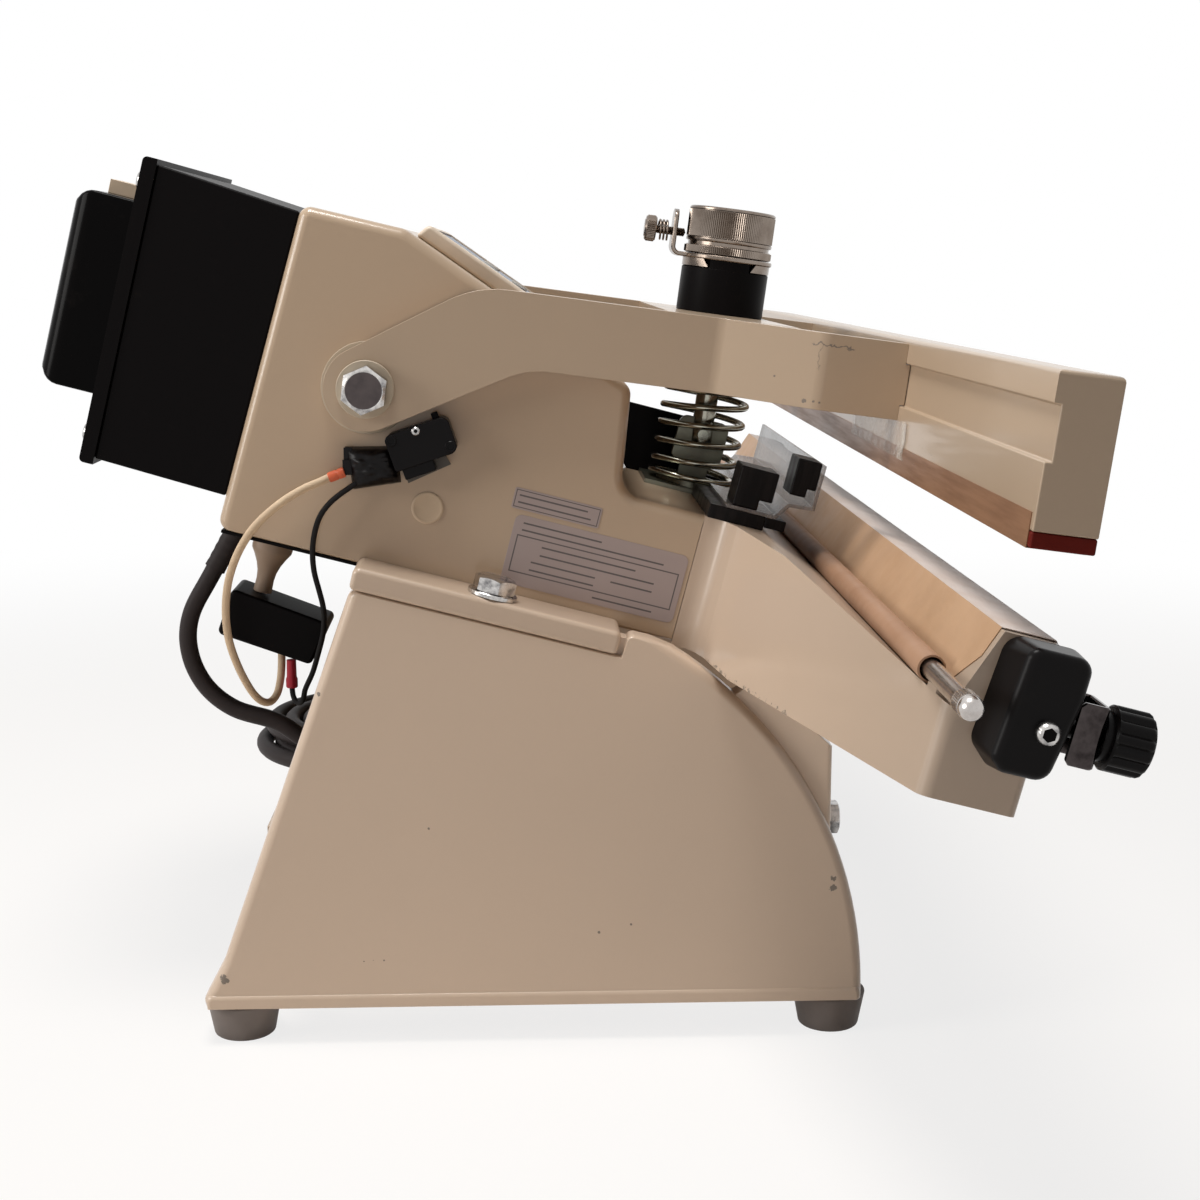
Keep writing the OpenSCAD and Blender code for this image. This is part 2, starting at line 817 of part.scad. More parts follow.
module solenoid() {
    coil_d = 2 * (sol_half - sol_plate) - 1;
    color([0.5, 0.45, 0.38])
    unit()
    translate([pull_u, 0, 0]) {
        difference() {
            block([-sol_half, sol_half], [-sol_half, sol_half], [sol_low, sol_top]);
            block([-sol_half + sol_plate, sol_half - sol_plate], [-sol_half - 1, sol_half + 1],
                  [sol_low + sol_plate, sol_top - sol_plate]);
            translate([0, 0, sol_top - sol_plate - 1])
                cylinder(d = plunger_d + 2 * fit, h = sol_plate + 2);
        }
        translate([0, 0, sol_low + sol_plate])
            difference() {
                cylinder(d = coil_d, h = sol_top - sol_low - 2 * sol_plate);
                translate([0, 0, -1]) cylinder(d = plunger_d + 2 * fit, h = sol_top - sol_low);
            }
    }
}

module plunger() {
    color(steel)
    unit()
        translate([pull_u, 0, plunger_top - plunger_len])
            difference() {
                cylinder(d = plunger_d, h = plunger_len);
                block([-link_w / 2 - 0.1, link_w / 2 + 0.1], [-link_t / 2 - 0.05, link_t / 2 + 0.05],
                      [plunger_len - 8, plunger_len + 1]);
            }
}

// Height of the rod's cross pin in the unit, with the jaw open
open_pin = turned([pull_u, pin_w], open_angle);

module pull_link() {
    pin_room = 0.6;
    low = plunger_top - 8;
    head_low = sol_top + stroke + 1;
    head_top = open_pin.y + link_rise;
    color(steel)
    unit()
    difference() {
        slab(
            rounded([
                [pull_u - link_w / 2, low, 0],
                [pull_u + link_w / 2, low, 0],
                [pull_u + link_w / 2, head_low, 0],
                [pull_u + link_head_w / 2, head_low + 4, 0],
                [pull_u + link_head_w / 2, head_top, 4],
                [pull_u - link_head_w / 2, head_top, 4],
                [pull_u - link_head_w / 2, head_low + 4, 0],
                [pull_u - link_w / 2, head_low, 0]
            ]),
            -link_t / 2, link_t / 2);
        translate([pull_u, 0, open_pin.y]) bar_y(pin_d / 2 + pin_room, -link_t, link_t);
    }
}

// Return spring: closed end turns, even turns between, its top turn lying against the open jaw
spring_foot = [pull_u, seat_top + wire_d / 2 + 0.1];
spring_head = turned([pull_u, arm_bottom - wire_d / 2 - clear], open_angle);
spring_rise = norm(spring_head - spring_foot);
closed_step = wire_d + 0.8;
function spring_height(t) =
    let (open_step = (spring_rise - 2 * closed_step) / (spring_turns - 2))
    t < 1 ? closed_step * t
    : t > spring_turns - 1 ? spring_rise - closed_step * (spring_turns - t)
    : closed_step + open_step * (t - 1);
function spring_point(t) =
    let (f = spring_height(t) / spring_rise, c = spring_foot + (spring_head - spring_foot) * f)
    let (p = c + turned([cos(360 * t) * spring_d / 2, 0], open_angle * f))
    [p.x, sin(360 * t) * spring_d / 2, p.y];
spring_path = [for (i = [0:spring_turns * 8]) spring_point(i / 8)];

module return_spring() {
    color([0.62, 0.63, 0.55])
    unit()
        tube(spring_path, wire_d, 6, [0, 0, 1]);
}

module spring_seat() {
    collar_h = 4;
    collar_r = spring_d / 2 * cos(180 / 8) - wire_d / 2 - 0.5;
    color(steel)
    unit()
    difference() {
        union() {
            block([pull_u - 23, pull_u + 23], [-23, 23], [shelf_w, seat_top]);
            translate([pull_u, 0, seat_top - eps]) cylinder(r = collar_r, h = collar_h);
        }
        translate([pull_u, 0, seat_top]) cylinder(r = collar_r - 2, h = collar_h + 1);
        block([pull_u - link_head_w / 2 - 1, pull_u + link_head_w / 2 + 1], [-link_t, link_t],
              [shelf_w - 1, seat_top + 1]);
    }
}

module back_plate() {
    color(black)
    unit()
        slab([
            [nose_u + 16, shelf_w],
            [pull_u - 1, shelf_w],
            [pull_u - 1, arm_bottom - 2.5],
            [nose_u + 9, arm_bottom - 2.5],
            [nose_u + 9, shelf_w + 8]
        ], 25, 28);
}

// Jaw

arm_outline = rounded([
    [-eye_r * sin(rise_top), eye_r * cos(rise_top), 0],
    [0, 0, 0],
    [eye_r * sin(rise_bottom), -eye_r * cos(rise_bottom), 0],
    [eye_r * sin(rise_bottom) + (arm_bottom + eye_r * cos(rise_bottom)) / tan(rise_bottom), arm_bottom, 35],
    [bar_u, arm_bottom, 0],
    [bar_u, arm_top, 0],
    [-eye_r * sin(rise_top) + (arm_top - eye_r * cos(rise_top)) / tan(rise_top), arm_top, 45]
]);
// Plan of one arm, stepping outward before the bar
arm_plan = rounded([
    [-eye_r - 1, arm_in, 0],
    [step_start + 3, arm_in, 6],
    [step_start + step_len + 3, arm_in + arm_step, 6],
    [bar_u, arm_in + arm_step, 0],
    [bar_u, arm_front_out, 0],
    [step_start + step_len, arm_front_out, 10],
    [step_start, arm_out, 10],
    [-eye_r - 1, arm_out, 0]
]);

module arm_casting() {
    tongue = groove_d - clear;
    bore_d = rod_d + 0.2;
    color(cream)
    jaw()
    difference() {
        union() {
            both_sides() {
                intersection() {
                    slab(arm_outline, 0, base_y + 20);
                    translate([0, 0, -60]) linear_extrude(160) polygon(arm_plan);
                }
                bar_y(eye_r, arm_in, arm_out);
                block([bar_u - 1, bar_u + tongue], [arm_in + arm_step, arm_front_out],
                      [groove_low + clear, groove_high - clear]);
            }
            block([bridge_rear, bridge_front], [-arm_in - 1, arm_in + 1], [arm_bottom, arm_top]);
        }
        both_sides() bar_y(pivot_d / 2 + fit, arm_in - 1, arm_out + 1);
        translate([pull_u, 0, arm_bottom - 1]) cylinder(d = bore_d, h = arm_h + 2);
    }
}

module pivot_bolts() {
    washer_d = 24;
    washer_t = 2;
    head_t = 7.5;
    low = body_y - wall - 18;
    color(steel)
    unit()
    both_sides() {
        difference() {
            bar_y(washer_d / 2, arm_out + clear, arm_out + clear + washer_t);
            bar_y(pivot_d / 2 + fit, arm_out, arm_out + clear + washer_t + 1);
        }
        bar_y(pivot_d / 2, low, arm_out + clear + washer_t);
        translate([0, arm_out + clear + washer_t + head_t, 0]) rotate([90, 0, 0]) hex(pivot_d * 1.55, head_t);
    }
}

module pivot_discs() {
    color([0.85, 0.83, 0.76])
    unit()
    both_sides()
        difference() {
            bar_y(eye_r + 1.8, body_y, body_y + disc_t);
            bar_y(pivot_d / 2 + fit, body_y - 1, body_y + disc_t + 1);
        }
}

module upper_bar() {
    color(cream)
    jaw()
        slab([
            [bar_u, bar_bottom],
            [bar_u + bar_w, bar_bottom],
            [bar_u + bar_w, bar_top],
            [bar_u, bar_top],
            [bar_u, groove_high],
            [bar_u + groove_d, groove_high],
            [bar_u + groove_d, groove_low],
            [bar_u, groove_low]
        ], -bar_y, bar_y);
}

module press_rubber() {
    color([0.55, 0.12, 0.08])
    jaw()
        block([bar_u, bar_u + bar_w], [-bar_y, bar_y], [rubber_bottom, bar_bottom]);
}

module press_tape() {
    up = 11;
    inset = 3;
    color([0.5, 0.33, 0.24])
    jaw()
        slab(
            strip([
                [bar_u, bar_bottom + up],
                [bar_u, rubber_bottom],
                [bar_u + bar_w - 2, rubber_bottom]
            ], -tape_t),
            -bar_y + inset, bar_y - inset);
}

neck_h = 3.8;
neck_r = 14;
plate_w = arm_top + sleeve_h + neck_h;
plate_t = 2;

module pressure_sleeve() {
    color(black)
    jaw()
        translate([pull_u, 0, arm_top])
            difference() {
                union() {
                    cylinder(d = sleeve_d, h = sleeve_h);
                    cylinder(r = neck_r, h = sleeve_h + neck_h);
                }
                translate([0, 0, -1]) cylinder(d = rod_d + 0.4, h = sleeve_h + neck_h + 2);
            }
}

module pull_rod() {
    end_w = pin_w - 5.5;
    slot_top = pin_w + link_rise + 0.8;
    prong = link_t / 2 + clear;
    color([0.62, 0.58, 0.42])
    jaw()
    translate([pull_u, 0, 0]) {
        difference() {
            translate([0, 0, end_w]) cylinder(d = rod_d, h = knob_low + knob_h - 4 - end_w);
            block([-rod_d, rod_d], [-prong, prong], [end_w - 1, slot_top]);
            translate([0, 0, pin_w]) bar_y(pin_d / 2 + fit, -rod_d, rod_d);
        }
        translate([0, 0, pin_w]) bar_y(pin_d / 2, -rod_d / 2 - 1.2, rod_d / 2 + 1.2);
    }
}

module pressure_ring() {
    ring_h = 4;
    color(steel)
    jaw()
        translate([pull_u, 0, plate_w + plate_t + clear])
            difference() {
                cylinder(d = knob_d + 0.6, h = ring_h);
                translate([0, 0, -1]) cylinder(d = rod_d + 2 * fit, h = ring_h + 2);
            }
}

module pressure_knob() {
    low = plate_w + plate_t + clear + 4;
    top = knob_low + knob_h;
    color(steel)
    jaw()
        translate([pull_u, 0, 0])
            difference() {
                union() {
                    translate([0, 0, low]) cylinder(d = knob_d - 2.4, h = knob_low - low + 1);
                    translate([0, 0, knob_low]) cylinder(d = knob_d, h = knob_h - 1);
                    translate([0, 0, top - 1]) cylinder(d1 = knob_d, d2 = knob_d - 2, h = 1);
                }
                translate([0, 0, low - 1]) cylinder(d = rod_d + 2 * fit, h = top - low - 2);
            }
}

module lock_bracket() {
    tab_h = 21;
    tab_y = 8;
    color(steel)
    jaw()
    difference() {
        union() {
            translate([pull_u, 0, plate_w]) cylinder(d = knob_d + 2, h = plate_t);
            block([tab_u - tab_t, pull_u - knob_d / 4], [-tab_y, tab_y], [plate_w, plate_w + plate_t]);
            block([tab_u - tab_t, tab_u], [-tab_y, tab_y], [plate_w, plate_w + tab_h]);
        }
        translate([pull_u, 0, plate_w - 1]) cylinder(d = rod_d + 1, h = plate_t + 2);
        translate([0, 0, lock_w]) bar_x(lock_d / 2 + fit, tab_u - tab_t - 1, tab_u + 1);
    }
}

lock_spring_len = 7;
lock_head_u = tab_u - tab_t - clear - lock_spring_len;
lock_wire = 1;
lock_turns = 3;
lock_spring_r = 4.4;
lock_path = [for (i = [0:lock_turns * 8])
    let (a = i * 45)
    [lock_head_u + 0.6 + lock_wire / 2 + i * (lock_spring_len - 1.2 - lock_wire) / (lock_turns * 8),
     lock_spring_r * cos(a), lock_w + lock_spring_r * sin(a)]];

module lock_screw() {
    head_d = 12;
    head_t = 5.5;
    tip_u = pull_u - knob_d / 2 - 0.6;
    color(steel)
    jaw() {
        translate([0, 0, lock_w]) {
            bar_x(lock_d / 2, lock_head_u - eps, tip_u);
            bar_x(head_d / 2, lock_head_u - head_t, lock_head_u);
        }
        tube(lock_path, lock_wire, 6, [1, 0, 0]);
    }
}

// Lower beam

// Plan of the beam from the seam outward, on the near half; the corner by the body is hollow
wing_root_y = body_y + 11;
wing_root_u = body_front + 13;
wing_tip_u = ridge_u - 11;
function wing_plan(d) = rounded([
    [body_front, body_y - d, 0],
    [wing_root_u - 4.4 + d, body_y - d, d > 0 ? 4 : 9],
    [wing_root_u + d, wing_root_y - d, d > 0 ? 4 : 9],
    [wing_tip_u + d, beam_y - d, 5],
    [beam_front - d, beam_y - d, 3],
    [beam_front - d, -1, 0],
    [body_front, -1, 0]
]);
beam_profile = [
    [body_front, -beam_bottom],
    [beam_front, -beam_bottom],
    [beam_front, ridge_top - 3.5],
    [ridge_front, ridge_top],
    [ridge_u, ridge_top],
    [valley_u, valley_w],
    [pull_u + 24, shelf_w],
    [body_front, shelf_w]
];

module lower_beam() {
    ceiling = valley_w - 4;
    slot = 9;
    taper_y = 150;
    color(cream)
    unit()
    difference() {
        both_sides()
            intersection() {
                union() {
                    slab(beam_profile, -1, beam_y + 1);
                    block([valley_u - 7, valley_u + 1.4], [roll_y + 4, roll_y + 11], [valley_w - 1, roll_w]);
                }
                translate([0, 0, -100]) linear_extrude(120) polygon(wing_plan(0));
            }
        both_sides() {
            translate([0, 0, -101]) linear_extrude(101 + ceiling) polygon(wing_plan(4));
            rotate([90, 0, 90])
                linear_extrude(beam_front + 20)
                    polygon([
                        [taper_y, -beam_bottom - 5],
                        [taper_y, -beam_bottom],
                        [beam_y, beam_end_bottom],
                        [beam_y + 5, beam_end_bottom],
                        [beam_y + 5, -beam_bottom - 5]
                    ]);
            translate([0, end_knob_y, end_knob_w]) bar_x(end_shank_d / 2 + fit, beam_front - 10, beam_front + 1);
            translate([roll_u, 0, roll_w]) bar_y(roll_rod_d / 2 + fit, roll_y + 3, roll_y + 12);
        }
        block([body_front - 1, pull_u + sol_half + 2], [-sol_half - 2, sol_half + 2], [-101, plunger_top + 1]);
        block([body_front - 1, pull_u + link_head_w / 2 + 3], [-slot, slot], [-101, shelf_w + 1]);
    }
}

module heater_ribbon() {
    inset = 8;
    mid = bar_u + bar_w / 2;
    color(steel)
    unit()
        block([mid - ribbon_w / 2, mid + ribbon_w / 2], [-beam_y + inset, beam_y - inset],
              [ridge_top, ribbon_top]);
}

sheet_y = beam_y - 17;
clamp_low = ridge_top - 18;
bracket_half = 10;

module release_sheet() {
    slope = along([ridge_u, ridge_top] - [valley_u, valley_w]);
    color(tan_sheet)
    unit()
        slab(
            strip([
                [beam_front, end_knob_w + bracket_half + clear],
                [beam_front, ridge_top - 3.5],
                [ridge_front, ribbon_top],
                [ridge_u, ribbon_top],
                [valley_u + 3.4 * slope.x, valley_w + 3.4 * slope.y]
            ], -sheet_t),
            -sheet_y, sheet_y);
}

module sheet_clamp() {
    clamp_t = 3;
    clamp_h = 12;
    color(steel)
    unit()
        slab(
            rounded([
                [beam_front + sheet_t, clamp_low, 0],
                [beam_front + sheet_t + clamp_t, clamp_low, 1],
                [beam_front + sheet_t + clamp_t, clamp_low + clamp_h, 1],
                [beam_front + sheet_t, clamp_low + clamp_h, 0]
            ]),
            -beam_y + 40, beam_y - 40);
}

block_top = tape_bottom - 1;
block_low = ridge_top - 41.5;

module end_blocks() {
    color(black)
    unit()
    both_sides()
        difference() {
            intersection() {
                slab(
                    rounded([
                        [beam_front - 24, block_low + 8, 2],
                        [beam_front - 16, block_low, 2],
                        [beam_front + 2.5, block_low, 3],
                        [beam_front + 6.5, block_low + 28, 4],
                        [beam_front + 6.5, block_top, 4],
                        [beam_front - 21, block_top, 3]
                    ]),
                    beam_y, beam_y + block_len);
                translate([0, 0, -80])
                    linear_extrude(100)
                        polygon(rounded([
                            [beam_front - 23, beam_y, 0],
                            [beam_front - 14, beam_y + block_len, 3],
                            [beam_front + 4.5, beam_y + block_len, 3],
                            [beam_front + 6.5, beam_y, 0]
                        ]));
            }
            translate([0, end_knob_y, end_knob_w])
                bar_x(end_shank_d / 2 + fit, beam_front - 8, beam_front + 10);
        }
}

bracket_t = 2;
bracket_u = beam_front + 14.5;

module end_brackets() {
    color(steel)
    unit()
    both_sides()
        difference() {
            translate([0, 0, end_knob_w - bracket_half])
                linear_extrude(2 * bracket_half)
                    polygon(strip([
                        [beam_front, beam_y - 35],
                        [beam_front, beam_y - 5],
                        [bracket_u - bracket_t, beam_y - 5],
                        [bracket_u - bracket_t, beam_y + 11],
                        [beam_front + 8, beam_y + 11]
                    ], -bracket_t));
            translate([0, end_knob_y, end_knob_w])
                bar_x(end_shank_d / 2 + fit, bracket_u - bracket_t - 1, bracket_u + 1);
        }
}

module end_knob() {
    grip = 15.5;
    collar = 2.5;
    flutes = 10;
    color(black)
    unit()
        translate([0, end_knob_y, end_knob_w]) {
            difference() {
                bar_x(end_knob_d / 2, bracket_u + clear + collar, bracket_u + clear + grip);
                for (i = [0:flutes - 1])
                    rotate([i * 360 / flutes, 0, 0])
                        translate([0, 0, end_knob_d / 2 + 0.8])
                            bar_x(2, bracket_u + clear + collar + 1.5, bracket_u + clear + grip + 1);
            }
            bar_x(end_knob_d / 2 - 2.5, bracket_u + clear, bracket_u + clear + collar + eps);
            bar_x(end_shank_d / 2, beam_front - 5, bracket_u + clear + eps);
        }
}
module end_knob_near() {
    mirror([0, 1, 0]) end_knob();
}
module end_knob_far() {
    end_knob();
}

roll_y = beam_y - 20;
rod_y = beam_y + 37;

module sheet_roll() {
    roll_wall = 0.9;
    color([0.5, 0.35, 0.25])
    unit()
        translate([roll_u, 0, roll_w])
            difference() {
                bar_y(roll_d / 2, -roll_y, roll_y);
                bar_y(roll_d / 2 - roll_wall, -roll_y - 1, roll_y + 1);
            }
}

module roll_rod() {
    tip_d = roll_rod_d + 1.8;
    tip_len = 13;
    color(steel)
    unit()
        translate([roll_u, 0, roll_w]) {
            bar_y(roll_rod_d / 2, -rod_y + tip_d / 2, rod_y - tip_d / 2);
            both_sides() {
                bar_y(tip_d / 2, rod_y - tip_len, rod_y - tip_d / 2);
                translate([0, rod_y - tip_d / 2, 0])
                    rotate([-90, 0, 0])
                        rotate_extrude()
                            intersection() {
                                circle(d = tip_d);
                                square(tip_d);
                            }
            }
        }
}

// Guard in front of the spring

guard_t = 1.6;
guard_base = shelf_w + 6;
guard_wall_u = pull_u + 43.3;
spring_room = spring_d / 2 + 10;

module guard_strip() {
    foot_u = pull_u + 6;
    heel_u = pull_u + 28;
    color([0.6, 0.6, 0.62])
    unit() {
        slab(
            strip([
                [guard_wall_u, arm_bottom - 0.8],
                [guard_wall_u, guard_base + 7.5],
                [guard_wall_u - 10.8, guard_base + 6.5],
                [heel_u, guard_base],
                [heel_u - 4, guard_base]
            ], -guard_t),
            -guard_y, guard_y);
        both_sides()
            block([foot_u, heel_u - 4], [spring_room, guard_y], [guard_base, guard_base + guard_t]);
    }
}

module guard_blocks() {
    deep = 22;
    color(black)
    unit() {
        both_sides() {
            block([body_front + 0.5, pull_u + 24], [spring_room - 2, guard_y], [shelf_w, guard_base]);
            block([pull_u + 24, pull_u + 33], [spring_room - 2, guard_y], [shelf_w + 1.5, guard_base]);
        }
        block([pull_u + 8.5, pull_u + 25], [-guard_y + 0.5, deep - guard_y], [guard_base + guard_t, shelf_w + 25]);
        block([pull_u + 31, guard_wall_u - guard_t - 0.2], [-guard_y + 0.5, deep - guard_y],
              [guard_base + 7.5 + guard_t, arm_bottom - 1]);
    }
}

// Micro switch on the near side

module at_switch() {
    unit()
        translate([switch_u, -body_y, switch_w])
            rotate([0, -switch_angle, 0])
                children();
}

module switch_body() {
    wrap_len = 22.6;
    wrap_h = 18;
    wrap_lean = 14;
    hole_d = 3;
    bore = button_d / 2 + fit;
    color(black)
    difference() {
        union() {
            at_switch()
                block([-switch_len / 2, switch_len / 2], [-switch_t, 0], [-switch_h / 2, switch_h / 2]);
            unit()
                translate([switch_u - 17.2, -body_y, switch_w - 15.1])
                    rotate([0, -wrap_lean, 0])
                        block([-wrap_len / 2, wrap_len / 2], [-switch_t + 0.6, -0.6], [-wrap_h / 2, wrap_h / 2]);
        }
        at_switch() {
            translate([11, 0, -5]) bar_y(hole_d / 2, -switch_t - 1, 1);
            translate([button_at, -switch_t / 2, 0]) cylinder(r = bore, h = switch_h);
        }
    }
}

module switch_button() {
    stem = 4;
    color([0.5, 0.12, 0.1])
    at_switch()
        translate([button_at, -switch_t / 2, switch_h / 2 - stem]) cylinder(d = button_d, h = stem + button_out);
}

// Wires, lead and their ends

module pale_wire() {
    color([0.88, 0.82, 0.68])
        tube(concat([crimp_end], pale_route, [box_entry]), pale_wire_d, 8, [0, 1, 0]);
}
crimp_start = [-67.8, -108, 243.4];
crimp_len = 7;
crimp_way = -110;
crimp_end = crimp_start + crimp_len * [sin(crimp_way), 0, cos(crimp_way)];
function box_under(u) = line_at(box_corners[0], box_corners[1], u);
function box_over(u) = line_at(box_corners[3], box_corners[2], u);
box_entry = let (p = at_unit(-13, box_under(-13))) [p.x, -62, p.y];

module black_wire() {
    color(black)
        tube(concat([[-67, -108, 236]], black_route, [caps_end]), black_wire_d, 8, [0, 1, 0]);
}

module wire_caps() {
    cap_r = 2.6;
    cap_top = at_unit(-8, box_under(-8));
    slope = tilt + atan2(box_under(-9) - box_under(-8), 1);
    color([0.7, 0.15, 0.1]) {
        translate(caps_end) cylinder(r = cap_r, h = cap_top.y - caps_end.z - cap_r * tan(slope) - 0.3);
        translate(crimp_start) rotate([0, crimp_way, 0]) cylinder(d = pale_wire_d + 1, h = crimp_len);
    }
}

module junction_box() {
    color(black)
    unit()
        slab(rounded([for (c = box_corners) [c.x, c.y, 2.5]]), box_y[0], box_y[1]);
}

module cord_gland() {
    box_mid_y = (box_y[0] + box_y[1]) / 2;
    tip_r = cord_d / 2 + 0.8;
    boss_low = box_over(boss_u - boss_r) + 0.05;
    boss_h = floor_w - boss_low;
    color([0.82, 0.77, 0.64])
    unit() {
        translate([gland_u, gland_y, floor_w - gland_flange_t]) cylinder(r = gland_r, h = gland_flange_t);
        translate([gland_u, gland_y, floor_w - gland_flange_t])
            rotate([0, 180 + gland_lean, 0])
                difference() {
                    cylinder(r1 = gland_r - 0.5, r2 = tip_r, h = gland_len);
                    translate([0, 0, 4]) cylinder(d = cord_d + 2 * fit, h = gland_len);
                }
        translate([boss_u, box_mid_y, boss_low])
            rotate_extrude()
                polygon([
                    [0, 0], [boss_r, 0], [boss_r - 0.3, boss_h - 15], [boss_r + 0.8, boss_h - 9],
                    [2 * boss_r, boss_h - 3], [2 * boss_r, boss_h], [0, boss_h]
                ]);
    }
}

gland_tip =
    let (p = [gland_u, floor_w - gland_flange_t] - gland_len * [sin(gland_lean), cos(gland_lean)])
    at_unit(p.x, p.y);

module mains_lead() {
    path = concat(
        [[gland_tip.x, gland_y, gland_tip.y]],
        [for (p = lead_route) [p.x, gland_y, p.y]],
        [for (back = [4, 0]) [coil_x - cord_d - back, -coil_r, coil_high_z]]);
    color([0.22, 0.2, 0.19])
        tube(path, cord_d, 8, [0, 1, 0]);
}

// Coil: in on the upper layer, down a layer in the half turn at the middle, out on the lower one
coil_mid = 3;
function coil_drop(t) = min(max((t - coil_mid + 0.25) / 0.5, 0), 1);
function coil_radius(t) =
    coil_r - coil_step * min(t, 2 * coil_mid - t)
    + (t > 2 * coil_mid ? coil_flare * pow((t - 2 * coil_mid) * 4, 2) : 0);
function coil_point(t) =
    let (r = coil_radius(t), a = 360 * t - 90)
    [coil_x + r * cos(a), r * sin(a), coil_high_z - coil_step * coil_drop(t)];
coil_end = coil_point(coil_turns);
coil_path = concat(
    [[coil_x - cord_d, -coil_r, coil_high_z]],
    [for (i = [0:coil_turns * 24]) coil_point(i / 24)],
    [coil_end + [0, cord_d / 2, 0], coil_end + [0, cord_d, 0]]);

module mains_coil() {
    color([0.22, 0.2, 0.19])
        tube(coil_path, cord_d, 6, [0, 0, 1]);
}

module cord_tie() {
    band_t = 1.2;
    half = 3;
    r0 = coil_r - 2.75 * coil_step - cord_d / 2 - 1;
    r1 = coil_r + cord_d / 2 + 0.4;
    z0 = coil_low_z - cord_d / 2 - 0.4;
    z1 = coil_high_z + cord_d / 2 + 0.4;
    color(black)
    difference() {
        block([coil_x - half, coil_x + half], [r0 - band_t, r1 + band_t], [z0 - band_t, z1 + band_t]);
        block([coil_x - half - 1, coil_x + half + 1], [r0, r1], [z0, z1]);
    }
}

module mains_plug() {
    relief = 28;
    shell = 26;
    shell_r = 9.6;
    pin_len = 18;
    color(black)
    translate([coil_end.x, coil_end.y + cord_d, coil_end.z])
        rotate([-90, 0, 0]) {
            cylinder(r1 = cord_d / 2 + 0.8, r2 = 6.5, h = relief);
            translate([0, 0, relief - eps]) cylinder(r1 = 7.5, r2 = shell_r, h = shell);
            for (s = [-1, 1])
                translate([s * 5, 0, relief + shell - 1]) cylinder(d = 4, h = pin_len + 1);
        }
}

echo(spring_gap = self_gap(spring_path, wire_d, 5));
echo(lock_spring_gap = self_gap(lock_path, lock_wire, 5));
echo(coil_gap = self_gap(coil_path, cord_d, 12));

base_shell();
cord_tray();
rubber_feet();
front_bolts();
seat_frame();
seat_bolts();
body_housing();
side_plugs();
rating_plate();
rear_housing();
rear_panel();
rear_cover();
rear_screws();
wire_clamp();
panel_bezel();
panel_film();
power_rocker();
circuit_board();
transformer();
solenoid();
plunger();
pull_link();
return_spring();
spring_seat();
back_plate();
arm_casting();
pivot_bolts();
pivot_discs();
upper_bar();
press_rubber();
press_tape();
pressure_sleeve();
pull_rod();
pressure_ring();
pressure_knob();
lock_bracket();
lock_screw();
lower_beam();
heater_ribbon();
release_sheet();
sheet_clamp();
end_blocks();
end_brackets();
end_knob_near();
end_knob_far();
sheet_roll();
roll_rod();
guard_strip();
guard_blocks();
switch_body();
switch_button();
pale_wire();
black_wire();
wire_caps();
junction_box();
cord_gland();
mains_lead();
mains_coil();
cord_tie();
mains_plug();
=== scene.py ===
"""Looks of a bench impulse sealer: camera, light, cords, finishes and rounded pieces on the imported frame."""

import json
import math

import bmesh
import bpy
from mathutils import Matrix, Vector, noise

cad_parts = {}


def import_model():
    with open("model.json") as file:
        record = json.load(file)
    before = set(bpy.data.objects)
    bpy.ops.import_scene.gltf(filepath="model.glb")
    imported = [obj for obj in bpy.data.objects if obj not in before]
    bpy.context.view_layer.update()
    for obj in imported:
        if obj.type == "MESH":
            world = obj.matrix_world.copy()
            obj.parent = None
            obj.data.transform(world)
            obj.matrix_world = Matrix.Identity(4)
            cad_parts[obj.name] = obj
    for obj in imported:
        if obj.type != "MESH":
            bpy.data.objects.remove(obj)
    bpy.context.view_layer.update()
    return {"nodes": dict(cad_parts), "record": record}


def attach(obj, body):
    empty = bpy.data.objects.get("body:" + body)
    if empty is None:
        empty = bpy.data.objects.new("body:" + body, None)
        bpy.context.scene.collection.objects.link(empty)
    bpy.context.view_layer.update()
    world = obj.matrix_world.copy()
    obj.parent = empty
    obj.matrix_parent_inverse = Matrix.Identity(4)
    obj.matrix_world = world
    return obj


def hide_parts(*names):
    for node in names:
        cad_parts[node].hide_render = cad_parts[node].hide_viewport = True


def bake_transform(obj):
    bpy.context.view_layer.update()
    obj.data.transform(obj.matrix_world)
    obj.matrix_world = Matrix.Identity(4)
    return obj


MM = 0.001
METRE = 1000.0
TAU = 2 * math.pi
WAVE_BANDS = 3.1416  # bands of a wave pattern to one unit of its scale, nearly

# Frames of the machine, in millimetres and degrees; U and W run along and up the tilted unit
PIVOT_X, PIVOT_Z = -58.0, 278.0
TILT, OPEN = 14.5, 7.0
BODY_Y, BASE_Y, PANEL_Y, INNER_Y, BEAM_Y = 102.0, 130.0, 118.0, 112.0, 335.0
FLOOR_W, LEDGE_W, SEAT_W, SHELF_W, BODY_TOP = -73.5, -70.0, -80.0, -17.5, 67.0
PULL_U, ARM_TOP, ARM_BOTTOM = 152.0, 47.6, 16.6
BEAM_FRONT, BEAM_SEAM, RIDGE_TOP = 240.0, 151.0, -4.5
FOOT_H, FRONT_WALL_X = 16.0, 137.0
CONSOLE_DROP, CONSOLE_RUN = 40.0, 107.0
KNOB_Y, KNOB_W = 340.0, -27.9


def spot(x, y, z):
    return Matrix.Translation((x, y, z))


def rotated(angle, axis):
    return Matrix.Rotation(math.radians(angle), 4, axis)


def outward(side):
    """Turns Z away from the middle plane: to the near side for -1, to the far side for 1."""
    return rotated(-90 * side, "X")


